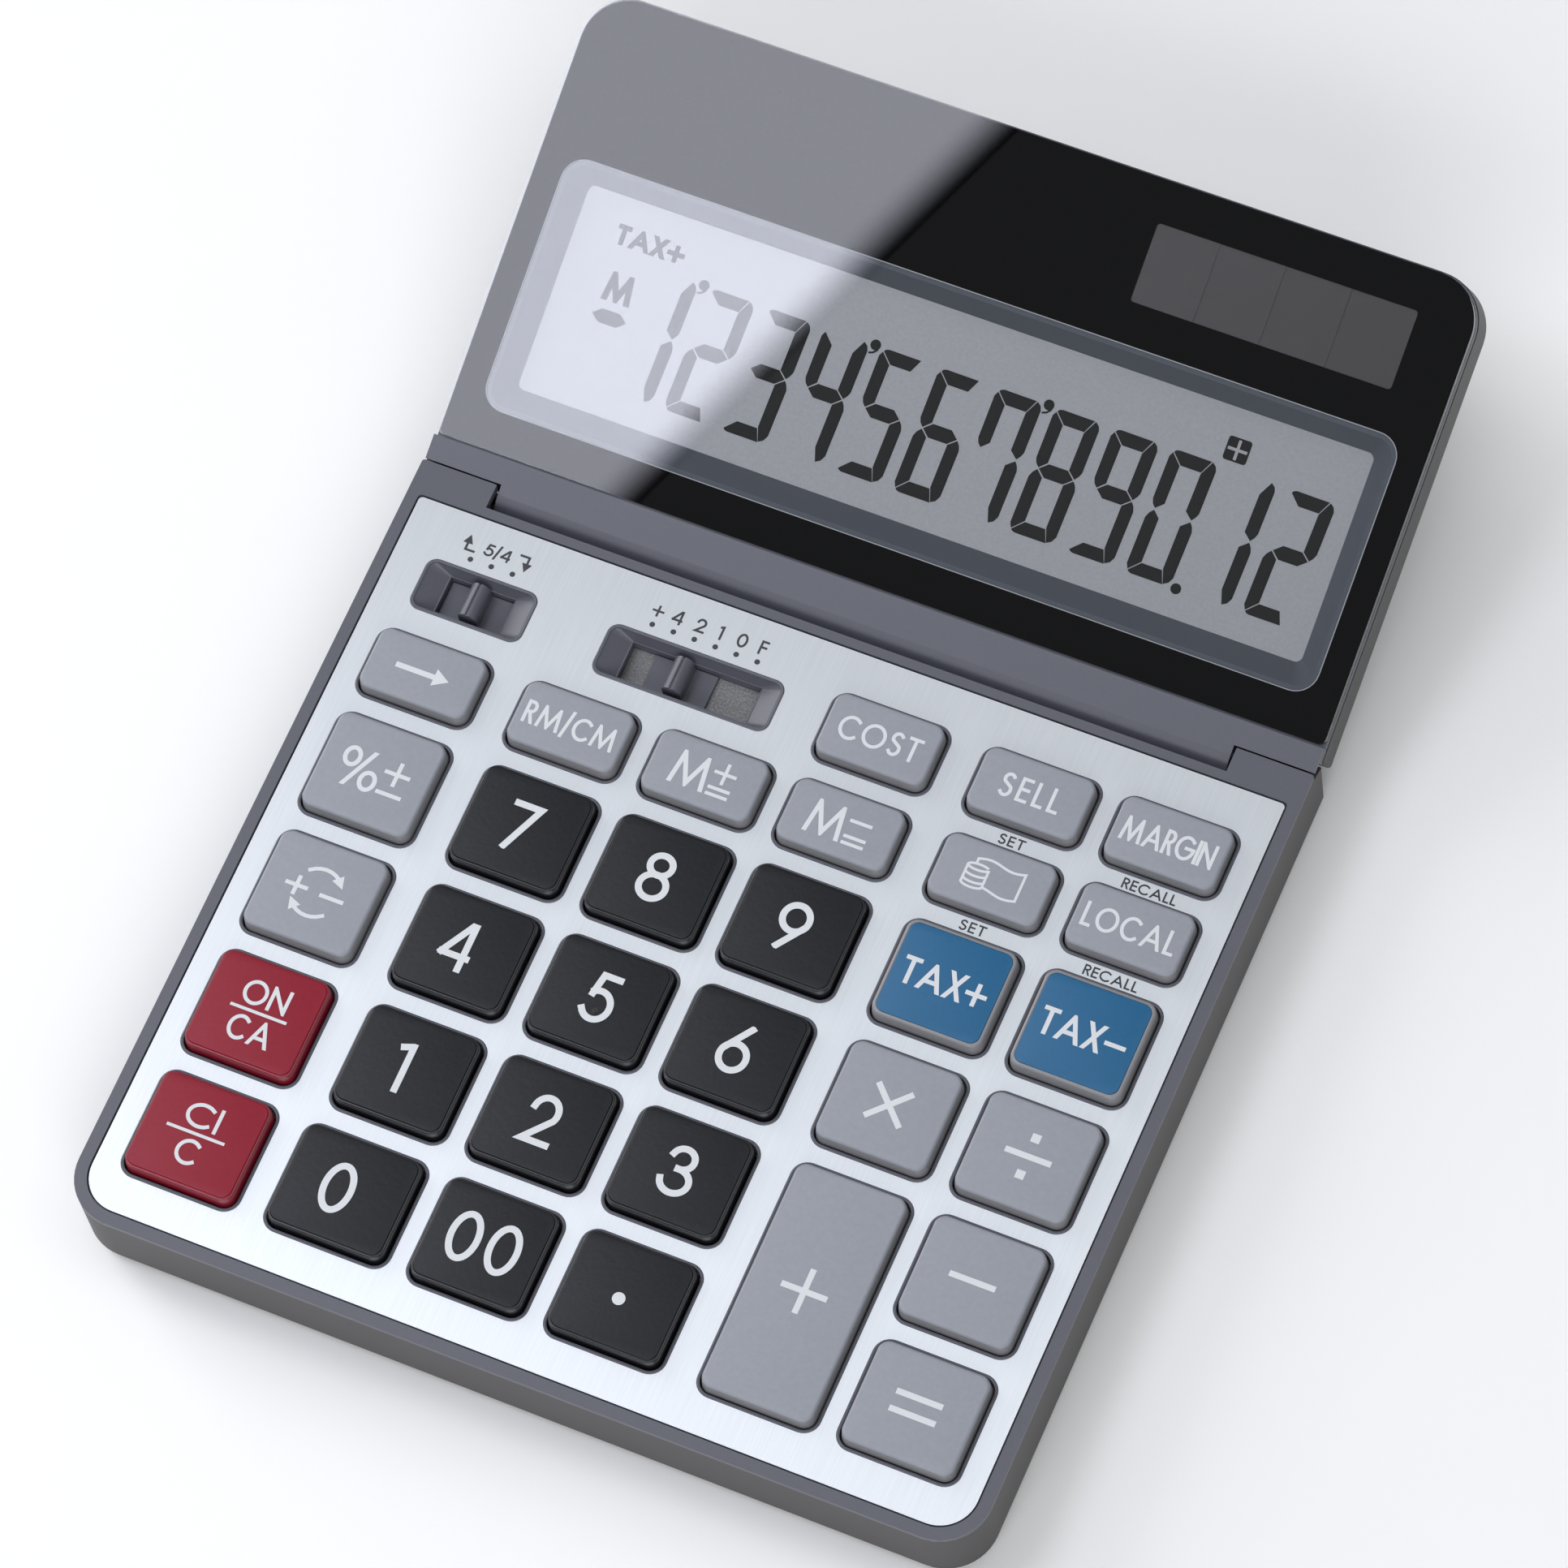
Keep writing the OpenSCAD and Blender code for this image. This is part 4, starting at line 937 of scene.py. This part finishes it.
def outline_of(segment):
    """A segment's points, anticlockwise and slanted."""
    points = SEGMENTS[segment]
    area = sum(a[0] * b[1] - b[0] * a[1] for a, b in zip(points, points[1:] + points[:1]))
    ordered = points if area > 0 else points[::-1]
    return [(x + LCD_SLANT * (y - LCD_H), y) for x, y in ordered]


def add_reading():
    """What the display shows."""
    low, high = GLASS_Z - 0.01, GLASS_Z + 0.02
    shape = Shape()
    for place, numeral in enumerate(READING):
        left = LCD_FIRST + LCD_PITCH * place - DIGIT_W
        for segment in LIT[numeral]:
            shape.prism([(left + x, LCD_FOOT + y) for x, y in outline_of(segment)], low, high)
    for place in (0, 3, 6):
        x = LCD_FIRST + LCD_PITCH * place + 0.75
        y = LCD_FOOT + LCD_H
        disc(shape, x, y, LCD_DOT_R, low, high)
        tail = [(x + 0.7, y), (x + 0.55, y - 0.6), (x + 0.1, y - 1.05), (x - 0.35, y - 1.2)]
        draw_line(shape, [(p[0] - 0.12, p[1]) for p in tail], 0.26, low, high + LAYER)
    disc(shape, LCD_FIRST + LCD_PITCH * 9 + 0.2, LCD_FOOT + 0.05, LCD_DOT_R, low, high)
    letters(shape, "TAX+", -45.3, 31.5, 9.9, 2.75, 0.66, low, high, 0.04)
    letters(shape, "M", -47.3, 24.0, 4.1, 4.0, 0.85, low, high)
    minus = [
        (-49.75, 21.9), (-48.6, 20.95), (-46.0, 20.95), (-44.85, 21.9), (-46.0, 22.85), (-48.6, 22.85),
    ]
    shape.prism(minus, low, high)
    icon_x, icon_y = 38.6, 32.55
    shape.prism(rounded(icon_x - 1.62, icon_x + 1.62, icon_y - 1.6, icon_y + 1.6, 0.4), low, high)
    bar(shape, icon_x, icon_y, 2.7, 0.4, low, high + 0.02, 1)
    bar(shape, icon_x, icon_y, 0.4, 2.7, low, high + 0.02 + LAYER, 1)
    shape.build("lcd_reading", DISPLAY, "display", ["lcd_ink", "lcd_glass"])


add_lens_print()
add_reading()

# ---------- CAD pieces that show as they are ----------

FINISHES = {
    "case_dark": ["top_case", "knob_rounding", "knob_decimals", "display_frame"],
    "case_grey": ["bottom_case", "display_back", "battery_cover"],
    "plate_metal": ["face_plate"],
    "mat_rubber": ["key_mat"],
    "board_green": ["main_board", "display_board"],
    "resin_black": ["processor"],
    "foot_rubber": ["feet"],
    "screw_steel": ["case_screws", "small_screws", "display_screws", "hinge_pins"],
    "cell_steel": ["battery"],
    "contact_brass": ["contact_rounding", "contact_decimals", "battery_contacts"],
    "wire_red": ["hinge_wires", "display_wires"],
    "lens_acrylic": ["display_lens"],
    "bezel_slate": ["lcd_bezel"],
    "lcd_glass": ["lcd_panel"],
    "connector_rubber": ["lcd_connector"],
    "solar_glass": ["solar_panel"],
}
SOFT_EDGES = {
    "top_case": 0.12,
    "bottom_case": 0.25,
    "display_frame": 0.12,
    "display_back": 0.25,
    "battery_cover": 0.1,
    "knob_rounding": 0.08,
    "knob_decimals": 0.08,
    "face_plate": 0.05,
    "feet": 0.2,
}


def soften(piece, width):
    """Rounds a CAD node's sharp edges, as moulded ones are."""
    weld = piece.modifiers.new("weld", "WELD")
    weld.merge_threshold = 0.002 * MM
    bevel = piece.modifiers.new("soft_edges", "BEVEL")
    bevel.limit_method = "ANGLE"
    bevel.angle_limit = math.radians(40)
    bevel.width = width * MM
    bevel.segments = 2
    bevel.use_clamp_overlap = True
    faces = piece.modifiers.new("flat_faces", "WEIGHTED_NORMAL")
    faces.mode = "FACE_AREA"
    faces.weight = 50
    faces.keep_sharp = True


for finish, names in FINISHES.items():
    for name in names:
        piece = frame["nodes"][name]
        piece.data.materials.clear()
        piece.data.materials.append(MATERIALS[finish])
        if name in SOFT_EDGES:
            soften(piece, SOFT_EDGES[name])

# ---------- floor and light ----------
# Lengths here are in metres, except for points of the lens, which are in DISPLAY.

LIGHT_DISTANCE = 1.3
PANEL_HEIGHT = 0.9
# Two points of the line, carried on past the lens's edges, where the window's reflection ends
GLARE_FRONT = (-43.4, -12.3)
GLARE_BACK = (0.15, 75.0)
# Left, right, front and back of the panel that stands for the ceiling
CEILING = (-0.95, 0.6, 0.0, 1.1)


def add_floor():
    reach = 2
    mesh = bpy.data.meshes.new("floor")
    corners = [(-reach, -reach, 0), (reach, -reach, 0), (reach, reach, 0), (-reach, reach, 0)]
    mesh.from_pydata(corners, [], [[0, 1, 2, 3]])
    mesh.materials.append(MATERIALS["floor"])
    floor = bpy.data.objects.new("floor", mesh)
    scene.collection.objects.link(floor)
    floor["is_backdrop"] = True


def add_light(name, direction, width, depth, power):
    """Soft box that looks at the calculator from that direction."""
    light = bpy.data.lights.new(name, "AREA")
    light.shape = "RECTANGLE"
    light.size = width
    light.size_y = depth
    light.energy = power
    holder = bpy.data.objects.new(name, light)
    aim = Vector(direction).normalized()
    holder.location = aim * LIGHT_DISTANCE
    holder.rotation_euler = aim.to_track_quat("Z", "Y").to_euler()
    scene.collection.objects.link(holder)
    holder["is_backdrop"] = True


def mirrored(x, y):
    """A point of the lens, and the direction in which the camera sees the room mirrored there."""
    point = DISPLAY @ Vector((x, y, 0))
    normal = (DISPLAY.to_3x3() @ Vector((0, 0, 1))).normalized()
    look = (point - camera.matrix_world.translation).normalized()
    return point, look - 2 * look.dot(normal) * normal


def glow_material(name, color, reading, near, far, near_glow, far_glow):
    """Glow that goes smoothly from near_glow to far_glow as the place's reading goes from near to far."""
    material = bpy.data.materials.new(name)
    material.use_nodes = True
    nodes, links = material.node_tree.nodes, material.node_tree.links
    nodes.remove(nodes["Principled BSDF"])
    place = nodes.new("ShaderNodeTexCoord")
    spread = nodes.new("ShaderNodeMapRange")
    spread.interpolation_type = "SMOOTHSTEP"
    for socket, value in zip(spread.inputs[1:5], (near, far, near_glow, far_glow)):
        socket.default_value = value
    links.new(reading(nodes, links, place.outputs["Object"]), spread.inputs[0])
    glow = nodes.new("ShaderNodeEmission")
    glow.inputs["Color"].default_value = color
    links.new(spread.outputs[0], glow.inputs["Strength"])
    links.new(glow.outputs["Emission"], nodes["Material Output"].inputs["Surface"])
    return material


def depth_of(nodes, links, place):
    """The place's Y."""
    split = nodes.new("ShaderNodeSeparateXYZ")
    links.new(place, split.inputs[0])
    return split.outputs["Y"]


def reach_along(direction):
    """How far the place lies along that direction."""
    def reading(nodes, links, place):
        reach = nodes.new("ShaderNodeVectorMath")
        reach.operation = "DOT_PRODUCT"
        reach.inputs[1].default_value = direction
        links.new(place, reach.inputs[0])
        return reach.outputs["Value"]

    return reading


def add_panel(name, corners, material):
    mesh = bpy.data.meshes.new(name)
    mesh.from_pydata(corners, [], [[0, 1, 2, 3]])
    mesh.materials.append(material)
    panel = bpy.data.objects.new(name, mesh)
    scene.collection.objects.link(panel)
    panel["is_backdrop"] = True


def seen_overhead(x, y):
    """Where at the panels' height the camera sees the room mirrored at a point of the lens."""
    point, away = mirrored(x, y)
    return point + away * (PANEL_HEIGHT - point.z) / away.z


def add_window_panel():
    """Bright panel overhead that the left part of the lens mirrors, up to a slanting soft line."""
    front, back = seen_overhead(*GLARE_FRONT), seen_overhead(*GLARE_BACK)
    along = (back - front).normalized()
    outward = Vector((-along.y, along.x, 0))
    width, soft = 0.35, 0.006
    beyond_front, beyond_back = 0.12, 0.08
    start = front - beyond_front * along - soft * outward
    stop = back + beyond_back * along - soft * outward
    corners = [start, stop, stop + width * outward, start + width * outward]
    edge = start.dot(outward)
    color, glow = (0.86, 0.88, 1, 1), 6.3
    material = glow_material("window_panel", color, reach_along(outward), edge, edge + 2 * soft, 0, glow)
    add_panel("window_panel", corners, material)


def add_ceiling():
    """Wide dim panel that the face plate and the key tops mirror, dimmer towards the back."""
    x0, x1, y0, y1 = CEILING
    corners = [(x, y, PANEL_HEIGHT) for x, y in ((x0, y0), (x1, y0), (x1, y1), (x0, y1))]
    near, far, near_glow, far_glow = 0.14, 0.4, 1.75, 0.35
    color = (0.96, 0.98, 1, 1)
    add_panel("ceiling", corners, glow_material("ceiling", color, depth_of, near, far, near_glow, far_glow))


def add_world():
    world = bpy.data.worlds.new("world")
    world.use_nodes = True
    background = world.node_tree.nodes["Background"]
    background.inputs["Color"].default_value = (0.95, 0.97, 1, 1)
    background.inputs["Strength"].default_value = 0.2
    scene.world = world


add_floor()
add_world()
add_window_panel()
add_ceiling()
add_light("front_box", (0.3, -0.9, 0.7), width=1.2, depth=0.6, power=8)
add_light("right_box", (0.95, -0.1, 0.6), width=0.6, depth=1.2, power=0.8)
add_light("left_box", (-0.95, 0.3, 0.6), width=0.6, depth=1.2, power=11)
scene.view_settings.view_transform = "Standard"

# ---------- end ----------

size_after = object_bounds()
[[list(corner) for corner in size] for size in (size_before, size_after)]
